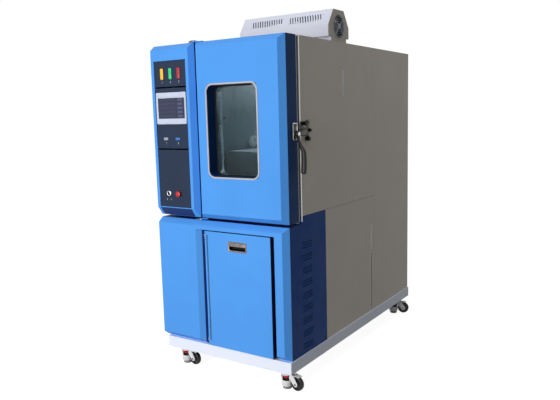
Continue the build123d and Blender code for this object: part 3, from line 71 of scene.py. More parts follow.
class Side(Enum):
    """Faces that fittings stand on: local across and up axes, whose cross product points out."""

    FRONT = ((1, 0, 0), (0, 0, 1))
    RIGHT = ((0, 1, 0), (0, 0, 1))
    BACK = ((-1, 0, 0), (0, 0, 1))


def cad(name: str) -> np.ndarray:
    """Low and high corner of a CAD node, in millimetres, as a (2, 3) array."""
    return np.array([list(corner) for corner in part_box(name)]) / MM


def span(box: np.ndarray, first: Axis, second: Axis) -> Pair:
    """Sizes of a box along two axes."""
    size = box[1] - box[0]
    return (size[first.value], size[second.value])


def seat(box: np.ndarray, axis: Axis, height: float) -> np.ndarray:
    """Middle of a box, carried along one axis to the given height.

    Args:
        box: lowest and highest corner of the box, one per row.
        axis: axis along which the middle is carried.
        height: its new coordinate on that axis.

    Returns:
        The point as an array of three.
    """
    spot = box.mean(axis=0)
    spot[axis.value] = height
    return spot


# Colours, nodes and the patterns that finishes share

# Noise seldom leaves the middle of its range, so gloss is stretched over these factors
NOISE_DIP, NOISE_CREST = 0.3, 0.7
STREAK = 60.0


def linear(code: str, gain: float = 1.0, lift: float = 0.0) -> Colour:
    """Turn an sRGB hex colour into the linear colour that the shader works in.

    Args:
        code: six hex digits with a leading hash.
        gain: factor on each linear channel, under 1 for a darker tone.
        lift: added to each channel after that.

    Returns:
        Linear red, green and blue, kept at white or under, with an alpha of 1.
    """
    channels = [int(code[i : i + 2], 16) / 255 for i in (1, 3, 5)]
    light = [c / 12.92 if c <= 0.04045 else ((c + 0.055) / 1.055) ** 2.4 for c in channels]
    red, green, blue = (min(1.0, c * gain + lift) for c in light)
    return (red, green, blue, 1.0)


def add_node(tree: Tree, kind: str, inputs: dict | None = None, **settings) -> Node:
    """Add one node with its settings and links.

    Args:
        tree: node tree of the material or world.
        kind: Blender's name of the node type, after its leading ShaderNode.
        inputs: input name or index to a value, an output socket, or a node whose first output is meant.
        settings: attributes of the node.

    Returns:
        The new node.
    """
    node = tree.nodes.new("ShaderNode" + kind)
    for key, value in settings.items():
        setattr(node, key, value)
    for key, value in (inputs or {}).items():
        source = value.outputs[0] if isinstance(value, Node) else value
        if isinstance(source, bpy.types.NodeSocket):
            tree.links.new(source, node.inputs[key])
        else:
            node.inputs[key].default_value = source
    return node


def grain(tree: Tree, feature_mm: float, detail: float = 3.0, along: Axis | None = None) -> Node:
    """Noise on Object coordinates whose blobs are about feature_mm across.

    Args:
        tree: node tree of the material.
        feature_mm: real size of one blob.
        detail: octaves of finer noise.
        along: axis along which each blob is drawn out into a streak, if any.

    Returns:
        The noise, whose first output is a factor from 0 to 1.
    """
    spot = add_node(tree, "TexCoord").outputs["Object"]
    if along is not None:
        scale = [1.0, 1.0, 1.0]
        scale[along.value] = 1 / STREAK
        spot = add_node(tree, "Mapping", {"Vector": spot, "Scale": scale})
    return add_node(tree, "TexNoise", {"Vector": spot, "Scale": 1 / (feature_mm * MM), "Detail": detail})


def lay(
    tree: Tree,
    shader: Node,
    plain: dict | None = None,
    tones: tuple[Node, tuple[float, Colour], tuple[float, Colour]] | None = None,
    gloss: tuple[Node, float, float] | None = None,
    relief: tuple[Node, float, float] | None = None,
) -> None:
    """Set a shader's plain sockets, and link patterns to its colour, roughness and normal.

    Args:
        tree: node tree of the material.
        shader: its principled shader.
        plain: input name to the value that it has all over the surface.
        tones: pattern, and the two stops of its colour ramp, each a position and a linear colour.
        gloss: pattern, and the roughness in its dips and on its crests.
        relief: pattern, its real depth in millimetres, and the strength of its bump.
    """
    for key, value in (plain or {}).items():
        shader.inputs[key].default_value = value
    if tones:
        ramp = add_node(tree, "ValToRGB", {0: tones[0]})
        for element, (position, colour) in zip(ramp.color_ramp.elements, tones[1:]):
            element.position = position
            element.color = colour
        tree.links.new(ramp.outputs[0], shader.inputs["Base Color"])
    if gloss:
        pattern, low, high = gloss
        limits = {"From Min": NOISE_DIP, "From Max": NOISE_CREST, "To Min": low, "To Max": high}
        rough = add_node(tree, "MapRange", {0: pattern, **limits})
        tree.links.new(rough.outputs[0], shader.inputs["Roughness"])
    if relief:
        pattern, depth_mm, strength = relief
        bump = add_node(tree, "Bump", {"Height": pattern, "Strength": strength, "Distance": depth_mm * MM})
        tree.links.new(bump.outputs[0], shader.inputs["Normal"])


@dataclass(frozen=True)
class Finish:
    """A surface finish: a name, and a material made once and shared by its pieces."""

    name: str

    def dress(self, tree: Tree, shader: Node) -> None:
        """Set the shader's sockets and link its patterns.

        Args:
            tree: node tree of the material.
            shader: its principled shader.
        """
        raise NotImplementedError

    def material(self) -> bpy.types.Material:
        """The finish's material, built on first use.

        Returns:
            The material of this finish's name.
        """
        found = bpy.data.materials.get(self.name)
        if found:
            return found
        made = bpy.data.materials.new(self.name)
        made.use_nodes = True
        self.dress(made.node_tree, made.node_tree.nodes["Principled BSDF"])
        return made


@dataclass(frozen=True)
class PowderCoat(Finish):
    """Polyester powder coat baked on folded steel: even colour, soft gloss and a fine orange peel."""

    colour: str = "#FFFFFF"
    roughness: float = 0.46
    spread: float = 0.05
    peel_mm: float = 3.0
    sheen: float = 0.1

    def dress(self, tree: Tree, shader: Node) -> None:
        """Cloudy colour over about 250 mm, gloss over 60 mm, and a peel bump a few hundredths deep.

        Args:
            tree: node tree of the material.
            shader: its principled shader.
        """
        darker = (0.3, linear(self.colour, 1 - self.spread))
        lighter = (0.7, linear(self.colour, 1 + self.spread))
        lay(
            tree, shader, {"Specular IOR Level": self.sheen},
            tones=(grain(tree, 250.0, detail=2.0), darker, lighter),
            gloss=(grain(tree, 60.0), self.roughness - 0.04, self.roughness + 0.05),
            relief=(grain(tree, self.peel_mm, detail=1.0), 0.05, 0.35),
        )


@dataclass(frozen=True)
class BrushedSteel(Finish):
    """Cold-rolled stainless sheet, brushed along one axis: long fine streaks in colour and gloss."""

    colour: str = "#B9BDBE"
    along: Axis = Axis.Z
    roughness: float = 0.32

    def dress(self, tree: Tree, shader: Node) -> None:
        """Streaks 1.5 mm wide, drawn coarser than the real brushing so that they show.

        Args:
            tree: node tree of the material.
            shader: its principled shader.
        """
        streak = grain(tree, 1.5, detail=2.0, along=self.along)
        lay(
            tree, shader, {"Metallic": 1.0},
            tones=(streak, (0.3, linear(self.colour, 0.86)), (0.7, linear(self.colour))),
            gloss=(streak, self.roughness - 0.07, self.roughness + 0.1),
            relief=(streak, 0.02, 0.2),
        )


@dataclass(frozen=True)
class PolishedMetal(Finish):
    """Bright plated or cast metal: near mirror, with faint handling marks that cloud the gloss."""

    colour: str = "#D8DADD"
    roughness: float = 0.12
    wear: float = 0.12

    def dress(self, tree: Tree, shader: Node) -> None:
        """Smudges about 12 mm across raise the roughness; the colour dips a little with them.

        Args:
            tree: node tree of the material.
            shader: its principled shader.
        """
        smudge = grain(tree, 12.0, detail=4.0)
        lay(
            tree, shader, {"Metallic": 1.0},
            tones=(smudge, (0.35, linear(self.colour, 0.82)), (0.65, linear(self.colour))),
            gloss=(smudge, self.roughness, self.roughness + self.wear),
            relief=(grain(tree, 2.0), 0.01, 0.15),
        )


@dataclass(frozen=True)
class Moulded(Finish):
    """Moulded plastic or rubber: one colour with a fine spark-eroded grain."""

    colour: str = "#202020"
    roughness: float = 0.5
    grain_mm: float = 1.2
    relief: float = 0.3

    def dress(self, tree: Tree, shader: Node) -> None:
        """Fine grain in bump, with a slow drift of colour and gloss over 40 mm.

        Args:
            tree: node tree of the material.
            shader: its principled shader.
        """
        drift = grain(tree, 40.0)
        lay(
            tree, shader, {"Specular IOR Level": 0.3},
            tones=(drift, (0.3, linear(self.colour)), (0.7, linear(self.colour, 1.12, 0.002))),
            gloss=(drift, self.roughness - 0.05, self.roughness + 0.06),
            relief=(grain(tree, self.grain_mm), 0.06, self.relief),
        )


@dataclass(frozen=True)
class LampLens(Finish):
    """Diffusing polycarbonate lens: saturated, glossy, ribbed across and faintly lit from behind."""

    colour: str = "#FFCC00"
    glow: float = 0.25
    rib_mm: float = 1.973

    def dress(self, tree: Tree, shader: Node) -> None:
        """Ribs about 2 mm apart up the lens; a small glow keeps the colour clear.

        Args:
            tree: node tree of the material.
            shader: its principled shader.
        """
        # A wave texture's bands repeat every tau / 20 of its scaled coordinate
        scale = math.tau / 20 / (self.rib_mm * MM)
        place = add_node(tree, "TexCoord").outputs["Object"]
        wave = {"Vector": place, "Scale": scale, "Distortion": 0.0}
        rib = add_node(tree, "TexWave", wave, bands_direction="Z")
        lay(
            tree, shader, {"Emission Color": linear(self.colour), "Emission Strength": self.glow},
            tones=(rib, (0.0, linear(self.colour, 0.7)), (0.6, linear(self.colour))),
            gloss=(grain(tree, 8.0), 0.12, 0.2),
            relief=(rib, 0.4, 0.5),
        )


@dataclass(frozen=True)
class ClearGlass(Finish):
    """Float glass with a conductive coat, its ior set under real glass's 1.5 for fainter reflections."""

    colour: str = "#E2EDF2"
    ior: float = 1.17
    shadow: str = "#DDE6EC"

    def dress(self, tree: Tree, shader: Node) -> None:
        """Clear body whose gloss drifts faintly; light bound for a surface behind goes straight through.

        Args:
            tree: node tree of the material.
            shader: its principled shader.
        """
        body = {"Base Color": linear(self.colour), "Transmission Weight": 1.0, "IOR": self.ior}
        lay(tree, shader, body, gloss=(grain(tree, 90.0), 0.0, 0.03))
        rays = add_node(tree, "LightPath").outputs
        bound = {0: rays["Is Shadow Ray"], 1: rays["Is Diffuse Ray"]}
        light = add_node(tree, "Math", bound, operation="MAXIMUM")
        clear = add_node(tree, "BsdfTransparent", {"Color": linear(self.shadow)})
        both = add_node(tree, "MixShader", {0: light, 1: shader, 2: clear})
        tree.links.new(both.outputs[0], tree.nodes["Material Output"].inputs["Surface"])


@dataclass(frozen=True)
class Foam(Finish):
    """Cut polyurethane foam: pale yellow and matt, pitted with cells."""

    colour: str = "#E0CE9A"
    cell_mm: float = 3.0

    def dress(self, tree: Tree, shader: Node) -> None:
        """Cells about 3 mm across, with painted shade darkening their pits.

        Args:
            tree: node tree of the material.
            shader: its principled shader.
        """
        place = add_node(tree, "TexCoord").outputs["Object"]
        cell = add_node(tree, "TexVoronoi", {"Vector": place, "Scale": 1 / (self.cell_mm * MM)})
        lay(
            tree, shader, {"Roughness": 0.95},
            tones=(cell, (0.0, linear(self.colour, 0.6)), (0.5, linear(self.colour))),
            relief=(cell, 0.6, 0.6),
        )


@dataclass(frozen=True)
class ScreenPanel(Finish):
    """Switched-on touch panel seen at an angle: dark blue glass, faint lines, and soft keys at its right.

    A mark is its middle and half width across the glass, then its middle and half height in a row, all as
    shares, and how bright it is.
    """

    colour: str = "#33374F"
    key_colour: str = "#4C5370"
    glow: float = 0.1
    row_mm: float = 21.0
    keys: tuple[float, ...] = (0.84, 0.09, 0.45, 0.3, 1.0)
    lines: tuple[float, ...] = (0.36, 0.3, 0.5, 0.08, 0.35)

    def dress(self, tree: Tree, shader: Node) -> None:
        """A mark shows where the position across the glass and up its row are both within their limits.

        Args:
            tree: node tree of the material.
            shader: its principled shader.
        """
        low, high = cad("screen_glass")[:, 0] * MM
        axes = add_node(tree, "SeparateXYZ", {0: add_node(tree, "TexCoord").outputs["Object"]})
        across = add_node(tree, "MapRange", {0: axes.outputs["X"], "From Min": low, "From Max": high})
        height = {0: axes.outputs["Z"], 1: 1 / (self.row_mm * MM)}
        rows = add_node(tree, "Math", height, operation="MULTIPLY")
        row = add_node(tree, "Math", {0: rows}, operation="FRACT")
        marks = []
        for x, half_width, z, half_height, bright in (self.keys, self.lines):
            column = add_node(tree, "Math", {0: across, 1: x, 2: half_width}, operation="COMPARE")
            band = add_node(tree, "Math", {0: row, 1: z, 2: half_height}, operation="COMPARE")
            both = add_node(tree, "Math", {0: column, 1: band}, operation="MULTIPLY")
            marks.append(add_node(tree, "Math", {0: both, 1: bright}, operation="MULTIPLY"))
        shown = add_node(tree, "Math", {0: marks[0], 1: marks[1]}, operation="MAXIMUM")
        lay(
            tree, shader, {"Specular IOR Level": 0.25, "Emission Strength": self.glow},
            tones=(shown, (0.0, linear(self.colour)), (1.0, linear(self.key_colour))),
            gloss=(grain(tree, 30.0), 0.1, 0.16),
        )
        picture = shader.inputs["Base Color"].links[0].from_socket
        tree.links.new(picture, shader.inputs["Emission Color"])


@dataclass(frozen=True)
class ShadePaintedCoat(PowderCoat):
    """Powder coat with painted shade: a darker tone, standing in for shade, lies past one plane and inside a
    box seen from the front.
    """

    # Painted shade: by default the blue darkened to stand for shade
    second: str = "#12305E"
    axis: Axis = Axis.X
    plane: float = 0.0
    box: np.ndarray | None = None

    def dress(self, tree: Tree, shader: Node) -> None:
        """The painted-shade mask is the greater of two tests on the position: past the plane, and within the
        box.

        Args:
            tree: node tree of the material.
            shader: its principled shader.
        """
        super().dress(tree, shader)
        axes = add_node(tree, "SeparateXYZ", {0: add_node(tree, "TexCoord").outputs["Object"]}).outputs
        # Painted shade goes past the plane and inside the box
        shade_mask = add_node(tree, "Math", {0: axes[self.axis.name], 1: self.plane * MM}, operation="GREATER_THAN")
        if self.box is not None:
            middle = self.box.mean(axis=0) * MM
            half = (self.box[1] - self.box[0]) / 2 * MM
            limits = [{0: axes[a.name], 1: middle[a.value], 2: half[a.value]} for a in (Axis.X, Axis.Z)]
            x, z = (add_node(tree, "Math", limit, operation="COMPARE") for limit in limits)
            within = add_node(tree, "Math", {0: x, 1: z}, operation="MULTIPLY")
            shade_mask = add_node(tree, "Math", {0: shade_mask, 1: within}, operation="MAXIMUM")
        first = shader.inputs["Base Color"].links[0].from_socket
        # A colour Mix node takes its two colours at inputs 6 and 7 and gives the result at output 2
        tones = add_node(tree, "Mix", {0: shade_mask, 6: first, 7: linear(self.second)}, data_type="RGBA")
        tree.links.new(tones.outputs[2], shader.inputs["Base Color"])


# The object's own finishes

# The front's blue darkened as painted shade, for the side cover and the screen behind its louvres
SHADED_BLUE = PowderCoat("powder coat blue darkened as painted shade", "#0E3C80", spread=0.04, sheen=0.06)
GREIGE = PowderCoat("powder coat warm grey", "#CFC9BE", spread=0.025)
OFF_WHITE = PowderCoat("powder coat off white", "#EAF0FF", roughness=0.45, spread=0.015)
SLATE = PowderCoat("wrinkle coat slate", "#28344A", roughness=0.5, spread=0.08, peel_mm=1.6)
# Painted shade under the column's sloping foot, as a dark plate
FOOT_SHADE = PowderCoat("painted shade on column foot", "#22376A", roughness=0.5, spread=0.08, peel_mm=1.6)
CREAM_CAST = PowderCoat("enamelled casting", "#E7E6E8", roughness=0.35, peel_mm=1.5)
CAPSULE = PowderCoat("gloss black enamel", "#101113", roughness=0.2, spread=0.1)
STAINLESS = BrushedSteel("stainless brushed upright")
STAINLESS_LONG = BrushedSteel("stainless brushed lengthwise", along=Axis.Y)
ZINC = PolishedMetal("zinc plate", "#7C8187", roughness=0.35, wear=0.2)
CHROME = PolishedMetal("chrome plate", "#DADCE0", roughness=0.07)
DARK_CHROME = PolishedMetal("black nickel", "#3A3833", roughness=0.18)
BLACK_NICKEL = PolishedMetal("black nickel roller", "#24231F", roughness=0.16)
PULL_METAL = PolishedMetal("satin nickel", "#77706F", roughness=0.24, wear=0.15)
ALUMINIUM = PolishedMetal("cast aluminium", "#A7ABB0", roughness=0.42, wear=0.15)
COPPER = PolishedMetal("copper tube", "#B8734C", roughness=0.25, wear=0.2)
BLACK_PLASTIC = Moulded("black polyamide", "#0B0C0D", roughness=0.42)
BLACK_GRIP = Moulded("black soft grip", "#08080A", roughness=0.45, grain_mm=0.9)
BLACK_RUBBER = Moulded("black door seal", "#17181A", roughness=0.62, grain_mm=2.0)
TRIM_RUBBER = Moulded("grey window seal", "#B4B3B8", roughness=0.5)
SILICONE = Moulded("white silicone", "#F2F7F2", roughness=0.4)
PAD_RUBBER = Moulded("grey pad rubber", "#8A8B8E", roughness=0.6)
RED_PLASTIC = Moulded("red button plastic", "#C41A22", roughness=0.22, relief=0.05)
RED_DIAL = Moulded("red dial", "#C8141C", roughness=0.4)
BEZEL_SILVER = Moulded("silver bezel plastic", "#BFC7DA", roughness=0.35, relief=0.1)
PORT_GREY = Moulded("grey port cap", "#9AA1B0", roughness=0.4)
PORT_BLUE = Moulded("blue port cap", "#3E7CC8", roughness=0.35)
INK = Moulded("white pad print", "#D9DDE6", roughness=0.6, relief=0.05)
LENSES = {
    "yellow": LampLens("lamp lens yellow", "#F5B800"),
    "green": LampLens("lamp lens green", "#0CC470"),
    "red": LampLens("lamp lens red", "#A80818"),
}
GLASS = ClearGlass("coated window glass")
SCREEN = ScreenPanel("touch panel glass")
FOAM = Foam("rigid foam")

# Where the painted shade starts: behind the front's bevels or a skin, or just short of a flank or an edge
BLUE = "#539CEC"
BEVEL_DEPTH = 31.4
SKIN_DEPTH = 1.4
FLANK_DEPTH = 0.7
HOOD_DEPTH = 2.0
EDGE_DEPTH = 0.4
# The painted shade behind the glass stops inside the window's trim
TRIM_INSET = 8.5
WINDOW = cad("window_trim") + np.array([[TRIM_INSET], [-TRIM_INSET]])
# Painted shade round the fascia's opening: from the fascia's box to its opening, 17 mm up the bevel at the
# left and a little into the sheet elsewhere
OPENING = cad("lower_fascia") + np.array([(286.0, 0.0, -15.0), (-70.4, 0.0, -44.4)])

# Door shell: the blue darkened as painted shade on its flanks behind the bevels and on the window reveal
DOOR_SHELL_SHADED = ShadePaintedCoat(
    "powder coat blue with painted shade on flanks and reveal", BLUE, spread=0.03, sheen=0.06, second="#0E3464",
    axis=Axis.Y, plane=cad("door_shell")[0, 1] + BEVEL_DEPTH, box=WINDOW,
)
# Fascia: painted shade on its top edge and in the jambs round the service door
FASCIA = ShadePaintedCoat(
    "powder coat blue with painted shade in jambs", BLUE, spread=0.03, second="#0B2468",
    axis=Axis.Z, plane=cad("lower_fascia")[1, 2] - EDGE_DEPTH, box=OPENING,
)
# Service door: painted shade on its folded returns
DOOR_SKIN = ShadePaintedCoat(
    "powder coat blue with painted shade on returns", BLUE, spread=0.03,
    axis=Axis.Y, plane=cad("lower_door")[0, 1] + SKIN_DEPTH,
)
# Control column: painted shade on its right flank
COLUMN = ShadePaintedCoat(
    "powder coat blue with painted shade on flank", BLUE, spread=0.03,
    plane=cad("control_column")[1, 0] - FLANK_DEPTH,
)
# Roof hood: its right end is the pale coat's painted shade, in darker greige
HOOD = ShadePaintedCoat(
    "powder coat hood with painted shade on end", "#D6D9E8", spread=0.015, second="#C3BCB2",
    plane=cad("motor_housing")[1, 0] - HOOD_DEPTH,
)


# Mesh helpers: every shape is a grid of points worked out as whole arrays

# Edges sharper than this many degrees stay hard
CREASE = 35.0
MERGE = 1e-6


@dataclass
class Grid:
    """A surface as an (n, m, 3) grid of points in millimetres, closed or open either way."""

    points: np.ndarray
    wrap_u: bool = False
    wrap_v: bool = True
    caps: bool = False

    def faces(self, start: int) -> list[list[int]]:
        """Quads between neighbours, and a face over each open end when caps is set.

        Args:
            start: index of the grid's first vertex in the mesh.

        Returns:
            Faces as lists of vertex indices, all wound the same way.
        """
        n, m = self.points.shape[:2]
        rows = np.arange(n if self.wrap_u else n - 1)
        columns = np.arange(m if self.wrap_v else m - 1)
        i, j = np.meshgrid(rows, columns, indexing="ij")
        below, right = (i + 1) % n, (j + 1) % m
        quads = np.stack([i * m + j, below * m + j, below * m + right, i * m + right], axis=-1)
        out = (quads.reshape(-1, 4) + start).tolist()
        if self.caps:
            out.append((start + np.arange(m)).tolist())
            out.append((start + (n - 1) * m + np.arange(m)[::-1]).tolist())
        return out


def raised(loops: np.ndarray, rises: Point) -> np.ndarray:
    """Stack (n, m, 2) loops, each at its own height, into (n, m, 3) points."""
    heights = np.asarray(rises, float)[:, None, None]
    return np.concatenate([loops, np.broadcast_to(heights, loops.shape[:2] + (1,))], -1)


def outline(width: float, height: float, corner: float, steps: int = 6) -> np.ndarray:
    """Rounded rectangle round the origin: four quarter circles joined by straight runs.

    Args:
        width: size along the first axis.
        height: size along the second axis.
        corner: corner radius, kept within half of either size.
        steps: points in each corner.

    Returns:
        A closed (4*steps, 2) loop.
    """
    corner = max(min(corner, width / 2, height / 2), 1e-3)
    angle = np.linspace(0, math.pi / 2, steps)
    quarter = np.stack([np.cos(angle), np.sin(angle)], -1) * corner
    centre = np.array([width / 2 - corner, height / 2 - corner])
    turns = [((1, 0), (0, 1)), ((0, 1), (-1, 0)), ((-1, 0), (0, -1)), ((0, -1), (1, 0))]
    signs = [(1, 1), (-1, 1), (-1, -1), (1, -1)]
    return np.concatenate([quarter @ np.array(t, float) + centre * np.array(s) for t, s in zip(turns, signs)])


def loft(stations: Iterable[Station], steps: int = 8, caps: bool = False, ring: bool = False) -> Grid:
    """Surface through rounded rectangles.

    Args:
        stations: width, height, corner radius and rise of each.
        steps: points in each corner.
        caps: whether a face closes each end.
        ring: whether the last rectangle joins the first.

    Returns:
        The surface in local coordinates.
    """
    width, height, corner, rise = zip(*stations)
    loops = np.stack([outline(w, h, c, steps) for w, h, c in zip(width, height, corner)])
    return Grid(raised(loops, rise), wrap_u=ring, caps=caps)


def shrunk(size: Pair, rows: Iterable[tuple[float, float, float]]) -> list[Station]:
    """Stations of a loft from one size: each row is what width and height lose, corner radius and rise."""
    return [(size[0] - less, size[1] - less, corner, rise) for less, corner, rise in rows]


def ring_sweep(size: Pair, corner: float, profile: Iterable[Point], steps: int = 10) -> Grid:
    """Carry a closed section round a rounded rectangle.

    Each point of the section is how far it lies outside the path, and its height.
    """
    return loft(((size[0] + 2 * o, size[1] + 2 * o, corner + o, r) for o, r in profile), steps, ring=True)


def slab(size: Pair, depth: float, corner: float, edge: float) -> Grid:
    """Flat block with rounded corners and softened edges, from height 0 to depth.

    Its section runs from the edge of the back, round both softened edges, to the edge of the front.

    Args:
        size: width and height.
        depth: thickness.
        corner: corner radius of the outline.
        edge: radius of the softened edges.

    Returns:
        A closed surface in local coordinates.
    """
    edge = min(edge, depth / 2.01, min(size) / 2.01)
    arc = np.linspace(0, math.pi / 2, 4)
    inset = edge - edge * np.sin(np.concatenate([arc, arc[::-1]]))
    rise = np.concatenate([edge - edge * np.cos(arc), depth - edge + edge * np.cos(arc[::-1])])
    rows = [(2 * s, max(corner - s, 0.2), r) for s, r in zip(inset, rise)]
    return loft(shrunk(size, rows), 6, caps=True)


def lathe(profile: Iterable[Point], steps: int = 32) -> Grid:
    """Turn a profile of (radius, height) points about the local third axis; a radius of 0 closes a pole."""
    radius, height = np.array([tuple(point) for point in profile], float).T
    return Grid(raised(radius[:, None, None] * circle(1.0, steps)[None], height))


def smooth(points: Sequence[Point], samples: int = 8) -> np.ndarray:
    """Catmull-Rom curve through the points: each span is a cubic whose end slopes join its neighbours.

    Args:
        points: where the curve goes through, in two or three dimensions.
        samples: points worked out in each span.

    Returns:
        Points along the curve, the last of the given ones included.
    """
    p = np.asarray(points, float)
    p = np.concatenate([2 * p[:1] - p[1:2], p, 2 * p[-1:] - p[-2:-1]])
    t = np.linspace(0, 1, samples, endpoint=False)[None, :, None]
    a, b, c, d = (p[k : len(p) - 3 + k, None] for k in range(4))
    curve = 0.5 * (2 * b + (c - a) * t + (2 * a - 5 * b + 4 * c - d) * t**2 + (3 * b - a - 3 * c + d) * t**3)
    return np.concatenate([curve.reshape(-1, p.shape[1]), p[-2:-1]])


def sweep(path: np.ndarray, section: np.ndarray, side: Point, scale: np.ndarray | float = 1.0) -> Grid:
    """Carry a closed section along an open path.

    At each path point the section's first axis is the tangent crossed with side, and its second is the
    tangent crossed with the first.

    Args:
        path: (n, 3) points.
        section: (k, 2) closed section.
        side: a direction the path never runs along.
        scale: size of the section at each path point.

    Returns:
        A capped tube.
    """
    tangent = np.gradient(path, axis=0)
    tangent /= np.linalg.norm(tangent, axis=1, keepdims=True)
    first = np.cross(tangent, np.asarray(side, float))
    first /= np.linalg.norm(first, axis=1, keepdims=True)
    second = np.cross(tangent, first)
    size = np.broadcast_to(np.asarray(scale, float), (len(path),))[:, None, None]
    offset = section[None, :, :1] * first[:, None] + section[None, :, 1:] * second[:, None]
    return Grid(path[:, None] + size * offset, caps=True)


def circle(radius: float, steps: int = 12, squash: float = 1.0) -> np.ndarray:
    """Closed round or oval section; squash scales its second axis."""
    angle = np.linspace(0, math.tau, steps, endpoint=False)
    return np.stack([radius * np.cos(angle), radius * squash * np.sin(angle)], -1)


def bow(section: Sequence[Point], angles: Pair, steps: int) -> np.ndarray:
    """Carry a section round part of a circle, at radius times cosine and radius times sine.

    Args:
        section: (radius, height) points.
        angles: first and last angle, in degrees.
        steps: how many times the section stands along the way.

    Returns:
        Points as a (steps, k, 3) array.
    """
    angle = np.radians(np.linspace(*angles, steps))[:, None]
    radius, height = np.array(section, float).T
    return np.stack([radius * np.cos(angle), radius * np.sin(angle), height + 0 * angle], -1)


def stadium(ends: Sequence[Point], radii: Pair, steps: int = 12) -> np.ndarray:
    """Outline round two circles: the arc of each that faces away from the other, joined by common tangents.

    Args:
        ends: centres of the two circles.
        radii: their radii.
        steps: points in each arc.

    Returns:
        A closed (2*steps, 2) loop.
    """
    near, far = (np.asarray(end, float) for end in ends)
    heading = math.atan2(*(far - near)[::-1])
    lean = math.acos((radii[0] - radii[1]) / np.linalg.norm(far - near))
    outer = heading + np.linspace(-lean, lean, steps)
    inner = heading + np.linspace(lean, math.tau - lean, steps)
    arcs = [
        end + radius * np.stack([np.cos(angle), np.sin(angle)], -1)
        for end, radius, angle in ((far, radii[1], outer), (near, radii[0], inner))
    ]
    return np.concatenate(arcs)


def link_plate(ends: Sequence[Point], radii: Pair, edge: Sequence[Pair], steps: int = 12) -> Grid:
    """Plate whose outline runs round two circles; edge gives the rise and inset of each line of its rim."""
    loops = np.stack([stadium(ends, (radii[0] - inset, radii[1] - inset), steps) for _, inset in edge])
    return Grid(raised(loops, [rise for rise, _ in edge]), caps=True)


def moved(grid: Grid, origin: Point, across: Point, up: Point) -> Grid:
    """Carry local points (a, b, c) to origin + a*across + b*up + c*(across x up).

    Args:
        grid: surface in local coordinates.
        origin: place of the local origin.
        across: unit direction of the first local axis.
        up: unit direction of the second local axis.

    Returns:
        The same surface at its new place.
    """
    x, y = np.asarray(across, float), np.asarray(up, float)
    points = np.asarray(origin, float) + grid.points @ np.stack([x, y, np.cross(x, y)])
    return Grid(points, grid.wrap_u, grid.wrap_v, grid.caps)


def on(side: Side, origin: Point, *grids: Grid) -> list[Grid]:
    """The grids set at one place on a face, their local third axis pointing out of that face."""
    return [moved(grid, origin, *side.value) for grid in grids]


def at_each(side: Side, places: Iterable[Point], grid: Grid) -> list[Grid]:
    """Copies of one grid, set on a face at each of the places."""
    return [moved(grid, place, *side.value) for place in places]


def piece(
    name: str, grids: Iterable[Grid], finish: Finish, body: str, replaces: Sequence[str] = ()
) -> None:
    """Make one piece from its grids and hang it on its CAD body.

    Args:
        name: object name.
        grids: surfaces in millimetres, in the shared frame.
        finish: its finish.
        body: CAD body it moves with.
        replaces: CAD nodes that it stands for.
    """
    points: list[np.ndarray] = []
    faces: list[list[int]] = []
    count = 0
    for grid in grids:
        faces += grid.faces(count)
        points.append(grid.points.reshape(-1, 3))
        count += len(points[-1])
    mesh = bpy.data.meshes.new(name)
    mesh.from_pydata((np.concatenate(points) * MM).tolist(), [], faces)
    form = bmesh.new()
    form.from_mesh(mesh)
    bmesh.ops.remove_doubles(form, verts=form.verts, dist=MERGE)
    bmesh.ops.recalc_face_normals(form, faces=form.faces)
    form.to_mesh(mesh)
    form.free()
    mesh.polygons.foreach_set("use_smooth", np.ones(len(mesh.polygons), bool))
    mesh.set_sharp_from_angle(angle=math.radians(CREASE))
    mesh.materials.append(finish.material())
    made = bpy.data.objects.new(name, mesh)
    bpy.context.scene.collection.objects.link(made)
    if replaces:
        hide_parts(*replaces)
    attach(made, body)
    log.info("piece %s on %s: %d faces", name, body, len(mesh.polygons))


def dress(finish: Finish, *nodes: str) -> None:
    """Give CAD nodes a finish in place of their plain one.

    Args:
        finish: the new finish.
        nodes: names of the nodes.
    """
    for name in nodes:
        held = NODES[name]
        if not held.material_slots:
            held.data.materials.append(None)
        for holder in held.material_slots:
            holder.material = finish.material()
        log.info("node %s: %s", name, finish.name)


def screw_heads(places: Iterable[Point], side: Side, radius: float, proud: float = 2.2) -> list[Grid]:
    """Domed screw heads with a round socket.

    Args:
        places: middle of each head, on the surface.
        side: face that they stand on.
        radius: radius of a head.
        proud: how far a head stands out.

    Returns:
        One form for each place.
    """
    dome = [
        (0, proud * 0.35), (radius * 0.38, proud * 0.35), (radius * 0.4, proud),
        (radius * 0.7, proud * 0.9), (radius, proud * 0.3), (radius, -0.5),
    ]
    return at_each(side, places, lathe(dome, 12))


# Numerals as strokes in a box one wide and two high, and the width and thickness of a stroke
DIGITS: dict[str, list[Pair]] = {
    "0": [(0.5, 2), (1, 1.6), (1, 0.4), (0.5, 0), (0, 0.4), (0, 1.6), (0.5, 2)],
    "1": [(0.15, 1.6), (0.5, 2), (0.5, 1), (0.5, 0)],
    "2": [(0, 1.6), (0.5, 2), (1, 1.5), (0.5, 0.7), (0, 0.05), (0.5, 0), (1, 0)],
    "3": [(0, 1.8), (0.6, 2), (0.9, 1.5), (0.4, 1.05), (0.95, 0.5), (0.6, 0), (0, 0.2)],
}
STROKE = (1.3, 0.8)


def numeral(digit: str, place: Point, height: float) -> Grid:
    """One numeral on the front, a flat stroke swept along its smoothed line.

    Args:
        digit: which numeral.
        place: middle of its foot, on the surface.
        height: its height.

    Returns:
        The stroke, half of its thickness proud.
    """
    line = smooth(DIGITS[digit], 5) * height / 2 - np.array([height / 4, 0])
    path = np.concatenate([line, np.zeros((len(line), 1))], -1)
    return moved(sweep(path, outline(*STROKE, 0.3, 2), (0, 0, 1)), place, *Side.FRONT.value)


# Light, backdrop and camera


